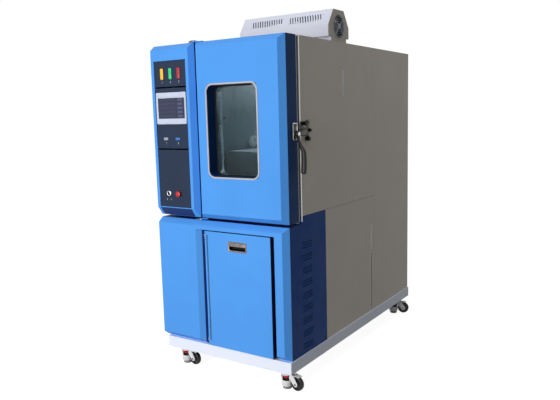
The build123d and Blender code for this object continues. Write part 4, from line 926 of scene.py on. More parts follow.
@dataclass(frozen=True)
class SoftBox:
    """Square area lamp: where it hangs, what it is aimed at, its watts, and its side in metres."""

    name: str
    place: tuple[float, float, float]
    target: tuple[float, float, float]
    power: float
    size: float

    def hang(self) -> None:
        """Make the lamp and aim it."""
        light = bpy.data.lights.new(self.name, "AREA")
        light.energy = self.power
        light.size = self.size
        held = bpy.data.objects.new(self.name, light)
        aim = (Vector(self.target) - Vector(self.place)).to_track_quat("-Z", "Y")
        held.matrix_world = Matrix.Translation(Vector(self.place)) @ aim.to_matrix().to_4x4()
        bpy.context.scene.collection.objects.link(held)


@dataclass
class Studio:
    """Camera at the photograph's place, a soft key from the front, one overhead, and a white sweep."""

    eye: tuple[float, float, float] = (1.9392, -3.1809, 1.3740)
    yaw: float = 33.3
    pitch: float = 7.96
    roll: float = -1.426
    lens: float = 39.70
    sensor: float = 36.0
    ambient: float = 0.25
    floor_half: float = 14.0
    floor_glow: float = 0.93
    lamps: tuple[SoftBox, ...] = (
        SoftBox("key", (-0.5, -5.2, 1.5), (0.0, -0.6, 0.95), 205.0, 3.0),
        SoftBox("overhead", (0.5, 0.0, 5.5), (0.2, 0.0, 0.0), 70.0, 5.0),
        SoftBox("chamber lamp", (0.22, -0.36, 1.61), (-0.105, -0.341, 1.225), 5.5, 0.16),
    )

    def camera(self) -> None:
        """Camera axes: forward from yaw and pitch, then right and up turned about it by the roll."""
        yaw, pitch, roll = (math.radians(a) for a in (self.yaw, self.pitch, self.roll))
        ahead = (-math.sin(yaw) * math.cos(pitch), math.cos(yaw) * math.cos(pitch), -math.sin(pitch))
        forward = Vector(ahead)
        level_right = Vector((math.cos(yaw), math.sin(yaw), 0))
        level_up = level_right.cross(forward)
        right = math.cos(roll) * level_right + math.sin(roll) * level_up
        up = -math.sin(roll) * level_right + math.cos(roll) * level_up
        lens = bpy.data.cameras.new("camera")
        lens.lens = self.lens
        lens.sensor_width = self.sensor
        lens.sensor_fit = "HORIZONTAL"
        lens.clip_end = 60.0
        held = bpy.data.objects.new("camera", lens)
        turn = Matrix((right, up, -forward)).transposed().to_4x4()
        held.matrix_world = Matrix.Translation(Vector(self.eye)) @ turn
        bpy.context.scene.collection.objects.link(held)
        bpy.context.scene.camera = held

    def seen(self, tree: Tree) -> Node:
        """One for camera, glossy and transmission rays, otherwise nought.

        Args:
            tree: node tree that the nodes are added to.

        Returns:
            The node whose first output is that factor.
        """
        rays = add_node(tree, "LightPath").outputs
        mirror = {0: rays["Is Camera Ray"], 1: rays["Is Glossy Ray"]}
        direct = add_node(tree, "Math", mirror, operation="MAXIMUM")
        return add_node(tree, "Math", {0: direct, 1: rays["Is Transmission Ray"]}, operation="MAXIMUM")

    def world(self) -> None:
        """White where the camera, metal or glass looks past the object, and a dim even grey as light."""
        world = bpy.data.worlds.new("studio")
        world.use_nodes = True
        bpy.context.scene.world = world
        tree = world.node_tree
        tree.nodes.clear()
        dim = add_node(tree, "Background", {"Color": linear("#FFFFFF"), "Strength": self.ambient})
        white = add_node(tree, "Background", {"Color": linear("#FFFFFF"), "Strength": 1.0})
        both = add_node(tree, "MixShader", {0: self.seen(tree), 1: dim, 2: white})
        add_node(tree, "OutputWorld", {0: both})

    def floor(self) -> None:
        """White painted floor: its own white to the eye, part of it glowing, and dull to bounced light."""
        finish = bpy.data.materials.new("painted studio floor")
        finish.use_nodes = True
        tree = finish.node_tree
        tree.nodes.clear()
        bounce = add_node(tree, "BsdfDiffuse", {"Color": linear("#6C6C6C")})
        paint = add_node(tree, "BsdfDiffuse", {"Color": linear("#9A9A9A")})
        glow = add_node(tree, "Emission", {"Strength": self.floor_glow})
        white = add_node(tree, "AddShader", {0: paint, 1: glow})
        both = add_node(tree, "MixShader", {0: self.seen(tree), 1: bounce, 2: white})
        add_node(tree, "OutputMaterial", {0: both})
        half = self.floor_half
        corners = [(-half, -half, 0), (half, -half, 0), (half, half, 0), (-half, half, 0)]
        mesh = bpy.data.meshes.new("floor")
        mesh.from_pydata(corners, [], [(0, 1, 2, 3)])
        mesh.materials.append(finish)
        held = bpy.data.objects.new("floor", mesh)
        bpy.context.scene.collection.objects.link(held)

    def build(self) -> None:
        """Make the whole studio, with colours shown as they are written."""
        bpy.context.scene.view_settings.view_transform = "Standard"
        self.camera()
        self.world()
        self.floor()
        for lamp in self.lamps:
            lamp.hang()
        log.info("studio ready")


class Assembly:
    """One sub-assembly: finishes for its CAD nodes, and pieces that stand in for nodes or add to them."""

    def dress(self) -> None:
        """Give the CAD nodes their finishes."""

    def build(self) -> None:
        """Make the sub-assembly's own pieces."""
        raise NotImplementedError


@dataclass
class Casing(Assembly):
    """Cabinet body: folded panels, base frame, column and fascia, with the few fixings that show."""

    screw_r: float = 4.5
    flange_width: float = 8.0
    flange_ends: float = 6.0
    strip_width: float = 6.0
    strip_y: float = -173.0
    strip_z: Pair = (1460.0, 1597.0)
    side_screws: tuple[Pair, ...] = ((-211.0, 1613.0), (-209.0, 1467.0), (176.0, 1716.0), (196.0, 1716.0))
    screen_size: Pair = (116.0, 560.0)
    screen_at: Pair = (-584.0, 470.0)
    screen_depth: float = 5.5
    back_margin: float = 22.0
    back_z: Pair = (200.0, 1705.0)
    back_rows: int = 6

    def dress(self) -> None:
        """Powder coats on the panels, the side cover's blue darkened as painted shade; zinc on what is hidden
        behind them.
        """
        dress(COLUMN, "control_column")
        dress(FASCIA, "lower_fascia")
        dress(SHADED_BLUE, "side_cover")
        dress(GREIGE, "upper_side_panel", "lower_side_panel", "rear_side_panel", "left_side_panel")
        dress(GREIGE, "rear_panel", "top_panel")
        dress(OFF_WHITE, "base_frame")
        dress(ZINC, "cabinet_frame", "castor_plates", "hinge_pins")

    def sides(self) -> None:
        """Front flange edge, narrow strip, screws, and the screen behind the cover's louvres."""
        side = cad("upper_side_panel")
        x = side[1, 0]
        low, high = cad("door_shell")[:, 2]
        edge = slab((self.flange_width, high - low - 2 * self.flange_ends), 1.6, 1.0, 0.5)
        spot = (x, side[0, 1] + self.flange_width / 2, (low + high) / 2)
        piece("flange_edge", on(Side.RIGHT, spot, edge), STAINLESS, "cabinet")
        foot, top = self.strip_z
        strip = slab((self.strip_width, top - foot), 1.2, 2.0, 0.4)
        spot = (x, self.strip_y, (foot + top) / 2)
        piece("side_strip", on(Side.RIGHT, spot, strip), OFF_WHITE, "cabinet")
        heads = screw_heads([(x, *spot) for spot in self.side_screws], Side.RIGHT, self.screw_r)
        piece("side_screws", heads, ZINC, "cabinet")
        # The screen behind the louvres takes the blue darkened as painted shade
        screen = slab(self.screen_size, 1.0, 2.0, 0.3)
        spot = (x - self.screen_depth, *self.screen_at)
        piece("louvre_screen", on(Side.RIGHT, spot, screen), SHADED_BLUE, "cabinet")

    def back(self) -> None:
        """Two rows of screws down the rear panel."""
        low, high = cad("rear_panel")
        y = cad("rear_side_panel")[1, 1] + 1.5
        heights = np.linspace(*self.back_z, self.back_rows)
        columns = (low[0] + self.back_margin, high[0] - self.back_margin)
        heads = screw_heads([(x, y, z) for x in columns for z in heights], Side.BACK, self.screw_r)
        piece("back_screws", heads, ZINC, "cabinet")

    def build(self) -> None:
        """Make what stands on the side and on the back."""
        self.sides()
        self.back()


@dataclass
class ControlColumn(Assembly):
    """Control column: three lamps, framed touch panel, two port caps, key switch and stop button."""

    lamp_x: tuple[float, ...] = (-363.0, -305.0, -248.0)
    lamp_z: float = 1592.0
    lamp_size: Pair = (20.0, 57.0)
    lamp_mark_z: float = 1545.0
    port_x: Pair = (-353.0, -270.0)
    port_z: float = 1257.0
    port_sizes: tuple[Pair, Pair] = ((28.0, 15.0), (30.0, 13.0))
    port_proud: float = 4.6
    port_mark_drop: float = 26.0
    knob_z: float = 967.0
    knob_mark_drop: float = 36.0
    key_x: float = -353.0
    key_mark_side: float = 14.0
    slot_size: Pair = (1.8, 9.0)
    slot_depth: float = 0.7
    stop_x: float = -281.0
    stop_dome: float = 4.6
    foot_bevel: Pair = (45.0, 31.0)
    # Plate of painted shade on the sloping foot: its middle across, and its width
    shade_x: float = -307.0
    shade_width: float = 220.0

    @property
    def face(self) -> float:
        """Front of the lamp, screen and switch plates, which stand in one plane."""
        return cad("switch_plate")[0, 1]

    def dress(self) -> None:
        """Slate plates behind the fittings."""
        dress(SLATE, "lamp_plate", "screen_plate", "switch_plate")
        dress(SCREEN, "screen_glass")

    def fit(
        self,
        name: str,
        grid: Grid,
        spot: Pair,
        finish: Finish,
        body: str,
        slot: str,
        replaces: Sequence[str] = (),
    ) -> None:
        """Make a piece of one form, set on the plates at the spot's x and z."""
        piece(name, on(Side.FRONT, (spot[0], self.face, spot[1]), grid), finish, body, replaces)

    def numerals(self, name: str, marks: Iterable[tuple[str, float]], z: float, height: float = 8.0) -> None:
        """A row of white numerals: each mark is a digit and its x."""
        grids = [numeral(digit, (x, self.face, z), height) for digit, x in marks]
        piece(name, grids, INK, "cabinet")

    def foot(self) -> None:
        """Painted shade on the column's sloping foot: a dark plate, its normal square to the slope."""
        low = cad("control_column")[0]
        drop, run = self.foot_bevel
        length = math.hypot(drop, run)
        middle = (self.shade_x, low[1] + run / 2, low[2] + drop / 2)
        plate = slab((self.shade_width, length - 4.0), 1.0, 2.0, 0.4)
        shade_slab = moved(plate, middle, (1, 0, 0), (0.0, -run / length, drop / length))
        piece("foot_shade_piece", [shade_slab], FOOT_SHADE, "cabinet")

    def lamps(self) -> None:
        """Lenses crowned like a loaf, each in a thin black surround."""
        proud = self.face - cad("indicator_lamps")[0, 1]
        rows = [(0, 5, -4.0), (0, 5, proud * 0.35), (1.5, 4.5, proud * 0.75), (5, 3.5, proud)]
        lens = loft(shrunk(self.lamp_size, rows), caps=True)
        for x, (tone, finish) in zip(self.lamp_x, LENSES.items()):
            self.fit(f"lamp_{tone}", lens, (x, self.lamp_z), finish, "cabinet", "lamps", ["indicator_lamps"])
        section = [(0.1, -1), (0.1, 1.2), (0.6, 1.7), (2.2, 1.7), (2.9, 1.0), (2.9, -1)]
        collar = ring_sweep(self.lamp_size, 5.0, section)
        rims = at_each(Side.FRONT, [(x, self.face, self.lamp_z) for x in self.lamp_x], collar)
        piece("lamp_surrounds", rims, BLACK_PLASTIC, "cabinet")
        self.numerals("lamp_numerals", zip("123", self.lamp_x), self.lamp_mark_z, 9.0)

    def screen(self) -> None:
        """Silver frame, wide above and below, stepping down to the glass."""
        bezel, glass = cad("screen_bezel"), cad("screen_glass")
        proud = self.face - bezel[0, 1]
        drop = self.face - glass[0, 1] - 1.0
        frame_size, glass_size = span(bezel, Axis.X, Axis.Z), span(glass, Axis.X, Axis.Z)
        outside = [(0, 7, -2.0), (0, 7, proud - 2.0), (1.6, 6.5, proud - 0.6), (5, 5.5, proud)]
        inside = [(-12, 4, proud), (-9, 3.5, proud - 0.8), (-0.4, 2, drop), (-0.4, 2, -2.0)]
        stations = shrunk(frame_size, outside) + shrunk(glass_size, inside) + shrunk(frame_size, outside[:1])
        ring = on(Side.FRONT, seat(bezel, Axis.Y, self.face), loft(stations))
        piece("screen_frame", ring, BEZEL_SILVER, "cabinet", ["screen_bezel"])
        back = slab((glass_size[0] - 0.5, glass_size[1] - 0.5), 20.0, 2.0, 0.5)
        body = on(Side.FRONT, seat(glass, Axis.Y, glass[1, 1] + 20.5), back)
        piece("screen_body", body, BLACK_PLASTIC, "cabinet")

    def ports(self) -> None:
        """Two hinged port caps, dished inside their edge."""
        proud = min(self.face - cad("panel_fittings")[0, 1], self.port_proud)
        caps = zip(self.port_x, self.port_sizes, ("grey", "blue"), (PORT_GREY, PORT_BLUE))
        for x, size, tone, finish in caps:
            edge = [(0, 3, -2.0), (0, 3, proud * 0.5), (1.5, 2.5, proud * 0.9), (6, 2, proud * 0.9)]
            dish = (size[0] - 8, size[1] - 7.5, 1.5, proud * 0.55)
            cap = loft([*shrunk(size, edge), dish], caps=True)
            spot = (x, self.port_z)
            self.fit(f"port_cap_{tone}", cap, spot, finish, "cabinet", "fittings", ["panel_fittings"])
        self.numerals("port_numerals", zip("12", self.port_x), self.port_z - self.port_mark_drop)

    def key(self) -> None:
        """Key switch: a chrome collar, the turned lock, and its slot."""
        spot = (self.key_x, self.knob_z)
        front = self.face - cad("key_barrel")[0, 1]
        collar = lathe([(9.6, -1), (9.6, 2.6), (11.0, 3.4), (13.6, 2.6), (14.6, 1.0), (14.6, -1)], 40)
        self.fit("key_collar", collar, spot, CHROME, "cabinet", "chrome")
        barrel = [
            (0, front - 1.2), (2.0, front - 1.2), (2.4, front), (7.6, front), (8.8, front - 1.0),
            (8.8, -12), (0, -12),
        ]
        self.fit("key_lock", lathe(barrel, 36), spot, DARK_CHROME, "key", "chrome", ["key_barrel"])
        place = (self.key_x, self.face - front + self.slot_depth, self.knob_z)
        mouth = slab(self.slot_size, 1.0, 0.6, 0.3)
        piece("key_slot", on(Side.FRONT, place, mouth), BLACK_PLASTIC, "key")

    def stop(self) -> None:
        """Mushroom button: a crown that is a quarter ellipse, a skirt under it, and a low collar."""
        spot = (self.stop_x, self.knob_z)
        button = cad("stop_button")
        rise = self.face - button[0, 1]
        r = span(button, Axis.X, Axis.Z)[0] / 2
        arc = np.linspace(0, math.pi / 2, 7)
        crown = np.stack([r * np.sin(arc), rise - self.stop_dome + self.stop_dome * np.cos(arc)], -1)
        skirt = [(r, rise - 7.0), (r * 0.78, rise - 9.0), (r * 0.5, rise - 9.5), (r * 0.5, -8.0), (0, -8.0)]
        mushroom = lathe([*crown, *skirt], 40)
        self.fit("stop_mushroom", mushroom, spot, RED_PLASTIC, "button", "button_red", ["stop_button"])
        base = lathe([(9.0, -1), (9.0, 0.6), (10.5, 1.1), (13.4, 1.1), (14.4, 0.6), (14.4, -1)], 36)
        self.fit("stop_collar", base, spot, DARK_CHROME, "cabinet", "fittings")

    def build(self) -> None:
        """Make every fitting of the column."""
        self.foot()
        self.lamps()
        self.screen()
        self.ports()
        self.key()
        self.stop()
        marks = (("0", self.key_x - self.key_mark_side), ("1", self.key_x + self.key_mark_side))
        self.numerals("key_numerals", marks, self.knob_z - self.knob_mark_drop)


@dataclass
class MainDoor(Assembly):
    """Windowed door: shell with painted shade on its flanks and window reveal, soft window rim, glazing bead
    and the spacer between its panes.
    """

    rim_width: float = 9.0
    rim_corner: float = 33.0
    nose: Pair = (4.4, 2.2)
    bead: float = 6.0
    pane: float = 6.0
    lip_size: Pair = (8.0, 15.5)
    lip_ends: float = 4.5
    lip_offset: Pair = (4.6, -2.0)

    def dress(self) -> None:
        """Coats on the shell, coated glass in the panes, steel and foam behind."""
        # The shell's flanks and window reveal carry painted shade
        dress(DOOR_SHELL_SHADED, "door_shell")
        dress(GLASS, "window_panes")
        dress(STAINLESS, "door_inner_panel")
        dress(FOAM, "door_insulation")
        dress(BLACK_RUBBER, "door_gasket")

    def round_window(self, y: float, section: Iterable[Point]) -> list[Grid]:
        """Carry a section round the window's hole.

        Args:
            y: plane from which the section's heights count, towards the front.
            section: closed section of (outward offset, height) points.

        Returns:
            The one swept form.
        """
        trim = cad("window_trim")
        width, height = span(trim, Axis.X, Axis.Z)
        hole = (width - 2 * self.rim_width, height - 2 * self.rim_width)
        return on(Side.FRONT, seat(trim, Axis.Y, y), ring_sweep(hole, self.rim_corner, section))

    def build(self) -> None:
        """Rim with a rounded nose, black bead on the pane, seal lip at the latch side, and steel spacer."""
        trim, panes, gasket = cad("window_trim"), cad("window_panes"), cad("door_gasket")
        face = cad("door_shell")[0, 1]
        half, crown = self.nose
        proud = face - trim[0, 1]
        arc = np.linspace(0, math.pi, 7)
        nose = np.stack([half + 0.2 - half * np.cos(arc), proud - crown + crown * np.sin(arc)], -1)
        depth = face - trim[1, 1]
        profile = [(0.1, depth), *nose, (9.0, 0.05), (1.6, 0.05), (1.6, depth)]
        rim = self.round_window(face, profile)
        piece("window_rim", rim, TRIM_RUBBER, "main_door", ["window_trim"])
        front, back = panes[:, 1]
        bead = [
            (-0.1, 0.2), (-0.1, self.bead), (-1.5, self.bead + 1.2), (-3.6, self.bead * 0.8),
            (-5.2, 2.0), (-5.4, 0.2),
        ]
        piece("glazing_bead", self.round_window(front, bead), BLACK_RUBBER, "main_door")
        width, thickness = self.lip_size
        lip = slab((width, gasket[1, 2] - gasket[0, 2] + 2 * self.lip_ends), thickness, 2.0, 1.5)
        spot = (gasket[1, 0] + self.lip_offset[0], gasket[1, 1] + self.lip_offset[1], gasket[:, 2].mean())
        piece("seal_lip", on(Side.FRONT, spot, lip), BLACK_RUBBER, "main_door")
        gap = back - front - 2 * self.pane
        wall = [
            (-0.5, -gap + 0.2), (-0.5, -0.2), (-2.5, -0.2), (-3.2, -1.4), (-3.2, -gap + 1.4),
            (-2.5, -gap + 0.2),
        ]
        spacer = self.round_window(front + self.pane, wall)
        piece("pane_spacer", spacer, STAINLESS_LONG, "main_door")


@dataclass
class ServiceDoor(Assembly):
    """Lower door: its flush pull, made of a frame, a dished cup and a curved lip, and its strip of vents."""

    frame_width: float = 9.0
    lip_thickness: float = 1.6
    vent_x: float = -101.0
    vent_top: float = 759.0
    vent_pitch: float = 10.5
    vents: int = 54
    vent_size: Pair = (8.0, 5.0)
    mesh_size: Pair = (13.0, 580.0)
    mesh_z: float = 480.0
    mesh_depth: float = 3.4

    def dress(self) -> None:
        """Same blue coat as the fascia, with painted shade on its folded returns."""
        dress(DOOR_SKIN, "lower_door")

    def pull(self) -> None:
        """Frame and cup in one loft; the lip bulges as a quarter sine down from its top edge."""
        handle = cad("pull_handle")
        face = cad("lower_door")[0, 1]
        proud = face - handle[0, 1]
        depth = handle[1, 1] - face - 1.5
        size = span(handle, Axis.X, Axis.Z)
        w, h = (s - 2 * self.frame_width for s in size)
        outside = [(0.1, 6, -0.5), (0.1, 6, proud * 0.4), (2, 5.5, proud * 0.9), (6, 5, proud)]
        inside = [(-5, 5, proud * 0.8), (-1, 5, 0.0), (1, 5, -3.0), (3, 5, -depth * 0.8), (8, 4, -depth)]
        stations = shrunk(size, outside) + shrunk((w, h), inside)
        centre = seat(handle, Axis.Y, face)
        rim, cup = loft(stations[:6]), loft(stations[5:])
        floor = Grid(np.concatenate([cup.points[-1:], cup.points[-1:] * np.array([0, 0, 1])]))
        for name, finish, grids in (("pull_frame", PULL_METAL, [rim]), ("pull_cup", CAPSULE, [cup, floor])):
            piece(name, on(Side.FRONT, centre, *grids), finish, "service_door", ["pull_handle"])
        width = w / 2 + 1.5
        across, down = np.meshgrid(np.linspace(-width, width, 22), np.linspace(0, 1, 12), indexing="ij")
        fade = np.sqrt(np.clip(1 - (across / width) ** 8, 0, 1))
        rise = proud * 0.35 + 1.1 * np.sin(np.pi * down * 0.5) * fade
        outer = np.stack([across, h / 2 + 1.0 - h * 0.45 * down, rise], -1)
        inner = outer[:, ::-1] - np.array([0, 0, self.lip_thickness])
        lip = on(Side.FRONT, centre, Grid(np.concatenate([outer, inner], axis=1), caps=True))
        piece("pull_lip", lip, PULL_METAL, "service_door")

    def vent_strip(self) -> None:
        """Black strip behind the vents, and a raised eye round each."""
        face = cad("lower_door")[0, 1]
        strip = slab(self.mesh_size, 1.2, 1.0, 0.3)
        place = (self.vent_x, face + self.mesh_depth, self.mesh_z)
        piece("vent_mesh", on(Side.FRONT, place, strip), BLACK_PLASTIC, "service_door")
        eye = ring_sweep(self.vent_size, 0.6, [(-0.4, -1.4), (-0.4, 0.4), (0.5, 0.6), (1.2, -0.2)], 2)
        places = [(self.vent_x, face, self.vent_top - self.vent_pitch * k) for k in range(self.vents)]
        piece("vent_eyes", at_each(Side.FRONT, places, eye), BLACK_PLASTIC, "service_door")

    def build(self) -> None:
        """Make the pull and the vents."""
        self.pull()
        self.vent_strip()


@dataclass
class Latch(Assembly):
    """Side latch: plate and keeper, and the black lever that hooks and hangs between them.

    Its spots are y and z on the cabinet's right side.
    """

    plate_depth: float = 4.0
    plate_screw: Pair = (8.0, 12.0)
    axis: Pair = (-673.0, 1277.0)
    claw_end: Pair = (-590.0, 1291.0)
    claw_radii: Pair = (14.0, 8.0)
    roller: Pair = (-564.0, 1291.0)
    wing: Pair = (-602.0, 1300.0)
    wing_size: Pair = (52.0, 70.0)
    bosses: tuple[Pair, Pair] = ((-597.0, 1325.0), (-571.0, 1249.0))
    nut_y: float = -558.0
    nut_margin: float = 14.0
    nut_r: float = 8.0

    def plate(self) -> None:
        """Plate with softened edges, three screws, and the turned boss and pin that carry the lever."""
        box = cad("latch_base")
        (x, low_y, low_z), (_, high_y, high_z) = box
        size = span(box, Axis.Y, Axis.Z)
        centre = seat(box, Axis.X, x)
        bead = [(-4.0, 3.8), (-3.4, 5.2), (-1.6, 5.6), (-0.6, 4.6), (-0.4, 2.0), (-3.0, 2.0)]
        rim = on(Side.RIGHT, centre, ring_sweep(size, 6.0, bead, 6))
        piece("latch_rim", rim, CHROME, "main_door")
        base = on(Side.RIGHT, centre, slab(size, self.plate_depth, 6.0, 1.5))
        side, end = self.plate_screw
        places = ((low_y + side, low_z + end), (low_y + side, high_z - end), (high_y - side, high_z - end))
        heads = screw_heads([(x + self.plate_depth, *place) for place in places], Side.RIGHT, 4.6, 2.6)
        piece("latch_plate", base + heads, DARK_CHROME, "main_door", ["latch_base"])
        boss = [
            (12.0, 3.0), (12.0, 7.6), (10.8, 8.6), (5.2, 8.6), (5.2, 21.5), (9.0, 21.6),
            (9.2, 24.6), (7.4, 26.0), (0, 26.0),
        ]
        hub = on(Side.RIGHT, (x, *self.axis), lathe(boss))
        piece("latch_hub", hub, CHROME, "main_door", ["latch_base"])

    def keeper(self) -> None:
        """Plate with a wing under the claw, roller with rounded rims on its stub, two bosses and two nuts."""
        box = cad("latch_keeper")
        x, low_z, high_z = box[0, 0], *box[:, 2]
        plate = slab(span(box, Axis.Y, Axis.Z), self.plate_depth, 8.0, 1.5)
        base = on(Side.RIGHT, seat(box, Axis.X, x), plate)
        wing = on(Side.RIGHT, (x, *self.wing), slab(self.wing_size, 5.5, 8.0, 1.5))
        r = self.nut_r
        nut = lathe([(0, r), (r * 0.72, r), (r, r * 0.72), (r, -0.4), (0, -0.4)], 6)
        heights = (high_z - self.nut_margin, low_z + self.nut_margin)
        nuts = at_each(Side.RIGHT, [(x + self.plate_depth, self.nut_y, z) for z in heights], nut)
        piece("keeper_plate", base + wing + nuts, DARK_CHROME, "cabinet", ["latch_keeper"])
        wheel = [
            (5.0, 3.5), (5.0, 6.0), (8.0, 6.4), (9.0, 7.6), (9.0, 23.0), (8.0, 24.2),
            (6.5, 24.4), (6.0, 27.4), (4.5, 28.0), (0, 28.0),
        ]
        knob = [
            (10.5, 0.0), (10.5, 3.0), (8.0, 5.0), (8.0, 14.0), (10.0, 15.0), (10.0, 22.0), (8.5, 24.5),
            (0, 25.5),
        ]
        rollers = on(Side.RIGHT, (x, *self.roller), lathe(wheel))
        rollers += at_each(Side.RIGHT, [(x, *spot) for spot in self.bosses], lathe(knob, 28))
        piece("keeper_rollers", rollers, BLACK_NICKEL, "cabinet", ["latch_keeper"])

    def lever(self) -> None:
        """Claw as a plate round two circles; the grip is an oval carried down a curve to a rounded end."""
        low, high = cad("latch_lever")
        x = low[0]
        edge = [(0.0, 1.2), (0.35, 0.35), (1.2, 0.0), (10.8, 0.0), (11.65, 0.35), (12.0, 1.2)]
        claw = on(Side.RIGHT, (x, 0, 0), link_plate((self.axis, self.claw_end), self.claw_radii, edge))
        piece("latch_claw", claw, DARK_CHROME, "latch", ["latch_lever"])
        line = [
            (6, -669, 1266), (7, -665, 1248), (10, -661, 1230), (18, -656, 1210), (25, -653, 1188),
            (26, -652, 1158), (26, -653, 1122), (26, -656, 1096), (26, -657, 1084),
        ]
        path = smooth(np.array(line) + np.array([x, 0, 0]), 5)
        shares = [(0, 0.5), (0.3, 0.58), (0.55, 0.95), (0.8, 1.0), (0.93, 0.95), (0.975, 0.75), (1.0, 0.35)]
        scale = np.interp(np.linspace(0, 1, len(path)), *zip(*shares))
        path = np.clip(path, [x + 5.5, low[1] + 1, low[2] + 1], [x + 26, high[1] - 9.0, high[2]])
        grip = sweep(path, circle(11.0, 24, 1.33), (1, 0, 0), scale)
        piece("latch_grip", [grip], BLACK_GRIP, "latch", ["latch_lever"])

    def build(self) -> None:
        """Make plate, keeper and lever."""
        self.plate()
        self.keeper()
        self.lever()


@dataclass
class Castor:
    """One levelling castor: enamelled head, black tyre on its hub, and the red dial over its foot.

    Its own axes start on the floor under the swivel, with the wheel trailing along the first.
    """

    spot: str
    centre: Pair
    turn: float
    trail: float = 66.0
    wheel_r: float = 36.5
    axle_z: float = 38.5
    cheek_top: Pair = (43.0, 68.0)
    cheek_radii: Pair = (15.0, 13.0)
    cheek_edge: tuple[Pair, ...] = ((14.6, 0.9), (15.5, 0.0), (18.6, 0.0), (19.5, 0.9))
    window: Pair = (-118.0, -26.0)
    mudguard: Pair = (62.0, 128.0)
    dial_r: float = 22.0
    dial_ribs: int = 20

    def make(
        self, part: str, grids: Iterable[Grid], finish: Finish, body: str, node: str = ""
    ) -> None:
        """Turn forms made on the castor's own axes, put them under its corner and make them one piece.

        Args:
            part: start of the piece's name.
            grids: the forms.
            finish: their finish.
            body: start of the name of the body they move with.
            node: start of the name of the CAD node they stand for, if any.
        """
        a = math.radians(self.turn)
        axes = ((math.cos(a), math.sin(a), 0), (-math.sin(a), math.cos(a), 0))
        carried = [moved(grid, (*self.centre, 0.0), *axes) for grid in grids]
        replaces = [f"{node}_{self.spot}"] if node else []
        piece(f"{part}_{self.spot}", carried, finish, f"{body}_{self.spot}", replaces)

    def on_axle(self, grid: Grid, across: float = 0.0, flip: int = 1) -> Grid:
        """Set a turned form on the axle, its local third axis along it, at a distance from the middle."""
        return moved(grid, (self.trail, across, self.axle_z), (flip, 0, 0), (0, 0, 1))

    def head(self) -> None:
        """Cup and cap turned about the swivel, an open wall between them, two cheeks and a mudguard."""
        cup = lathe([
            (24.2, 15), (26, 14.2), (28, 16), (28.6, 20), (28.6, 27), (29.2, 28), (29.2, 43), (28.8, 45),
            (25, 45), (25, 21), (24.2, 18), (24.2, 15),
        ], 40)
        cap = lathe([
            (25, 75), (32, 75), (33, 77), (33, 88), (31, 89.5), (31, 97), (29, 99.4), (19, 99.4),
            (19, 93), (11, 93), (11, 91), (25, 88), (25, 75),
        ], 40)
        section = [(25.0, 44.0), (28.9, 44.0), (28.9, 57.0), (32.4, 62.0), (32.4, 76.0), (25.0, 76.0)]
        wall = Grid(bow(section, (self.window[1], self.window[0] + 360.0), 30), caps=True)
        ends = (self.cheek_top, (self.trail, self.axle_z))
        edges = [[(flip * rise, inset) for rise, inset in self.cheek_edge] for flip in (1, -1)]
        cheeks = on(Side.FRONT, (0, 0, 0), *(link_plate(ends, self.cheek_radii, edge, 14) for edge in edges))
        inner, outer = self.wheel_r + 2.6, self.wheel_r + 6.0
        skin = [(inner, -15.0), (outer, -15.0), (outer, 15.0), (inner, 15.0)]
        arch = bow(skin, self.mudguard, 10)[..., [0, 2, 1]] + np.array([self.trail, 0, self.axle_z])
        grids = [cup, cap, wall, *cheeks, Grid(arch, caps=True)]
        self.make("head", grids, CREAM_CAST, "castor", "castor_head")

    def axle(self) -> None:
        """Axle with a hexagon head at either end, and the black floor of the well that the foot passes."""
        bolt = lathe([(0, 4.0), (4.5, 4.0), (6.4, 2.6), (6.4, 0.0), (0, 0.0)], 6)
        shaft = lathe([(0, -19.6), (5.6, -19.6), (5.6, 19.6), (0, 19.6)], 20)
        grids = [self.on_axle(bolt, 19.5, -1), self.on_axle(bolt, -19.5), self.on_axle(shaft)]
        self.make("axle", grids, ZINC, "castor")
        floor = lathe([(8.2, 40.5), (24.8, 40.5), (24.8, 44.6), (8.2, 44.6), (8.2, 40.5)])
        self.make("well", [floor], BLACK_PLASTIC, "castor")

    def wheel(self) -> None:
        """Tyre with a crowned tread and dished web, turned about the axle, and its steel hub."""
        r = self.wheel_r
        half = [(11, 7), (r - 10, 7.5), (r - 9, 11), (r - 5, 12), (r - 1.5, 9.5), (r, 4)]
        tread = half + [(radius, -side) for radius, side in half[::-1]] + half[:1]
        tyre = self.on_axle(lathe(tread, 48))
        self.make("tyre", [tyre], BLACK_PLASTIC, "wheel", "castor_wheel")
        core = lathe([(6.2, 12), (11.5, 12), (12, 10), (12, -10), (11.5, -12), (6.2, -12), (6.2, 12)])
        self.make("hub", [self.on_axle(core)], ZINC, "wheel")

    def foot(self) -> None:
        """Pad and screw turned; the dial's radius ripples as a cosine, a rib at a time."""
        pad = [(0, 0.0), (22, 0.0), (23, 1.2), (23, 6.0), (20, 10.0), (9.5, 11.0), (8, 13.0), (0, 13.0)]
        self.make("pad", [lathe(pad, 36)], PAD_RUBBER, "foot", "castor_foot")
        turns = [(6.9 - 0.45 * (k % 2), z) for k, z in enumerate(np.arange(13.0, 84.0, 1.0))]
        stem = lathe([(0, 12.0), *turns, (0, 85.0)], 20)
        self.make("screw", [stem], ZINC, "foot", "castor_foot")
        angle = np.linspace(0, math.tau, 6 * self.dial_ribs, endpoint=False)
        ripple = 1 - 0.03 * (1 - np.cos(self.dial_ribs * angle))
        rib = np.stack([ripple * np.cos(angle), ripple * np.sin(angle)], -1)
        dials = (
            ("dial", 59.0, 67.0, RED_DIAL, "foot_red"),
            ("dial_hub", 51.2, 59.0, BLACK_PLASTIC, "castor_tyre"),
        )
        for part, low, high, finish, slot in dials:
            r, edge = self.dial_r, 1.5
            radii = np.array([7.2, r - edge, r, r, r - edge, 7.2])
            rises = [low, low, low + edge, high - edge, high, high]
            ribbed = Grid(raised(radii[:, None, None] * rib[None], rises))
            self.make(part, [ribbed], finish, "foot", "castor_foot")

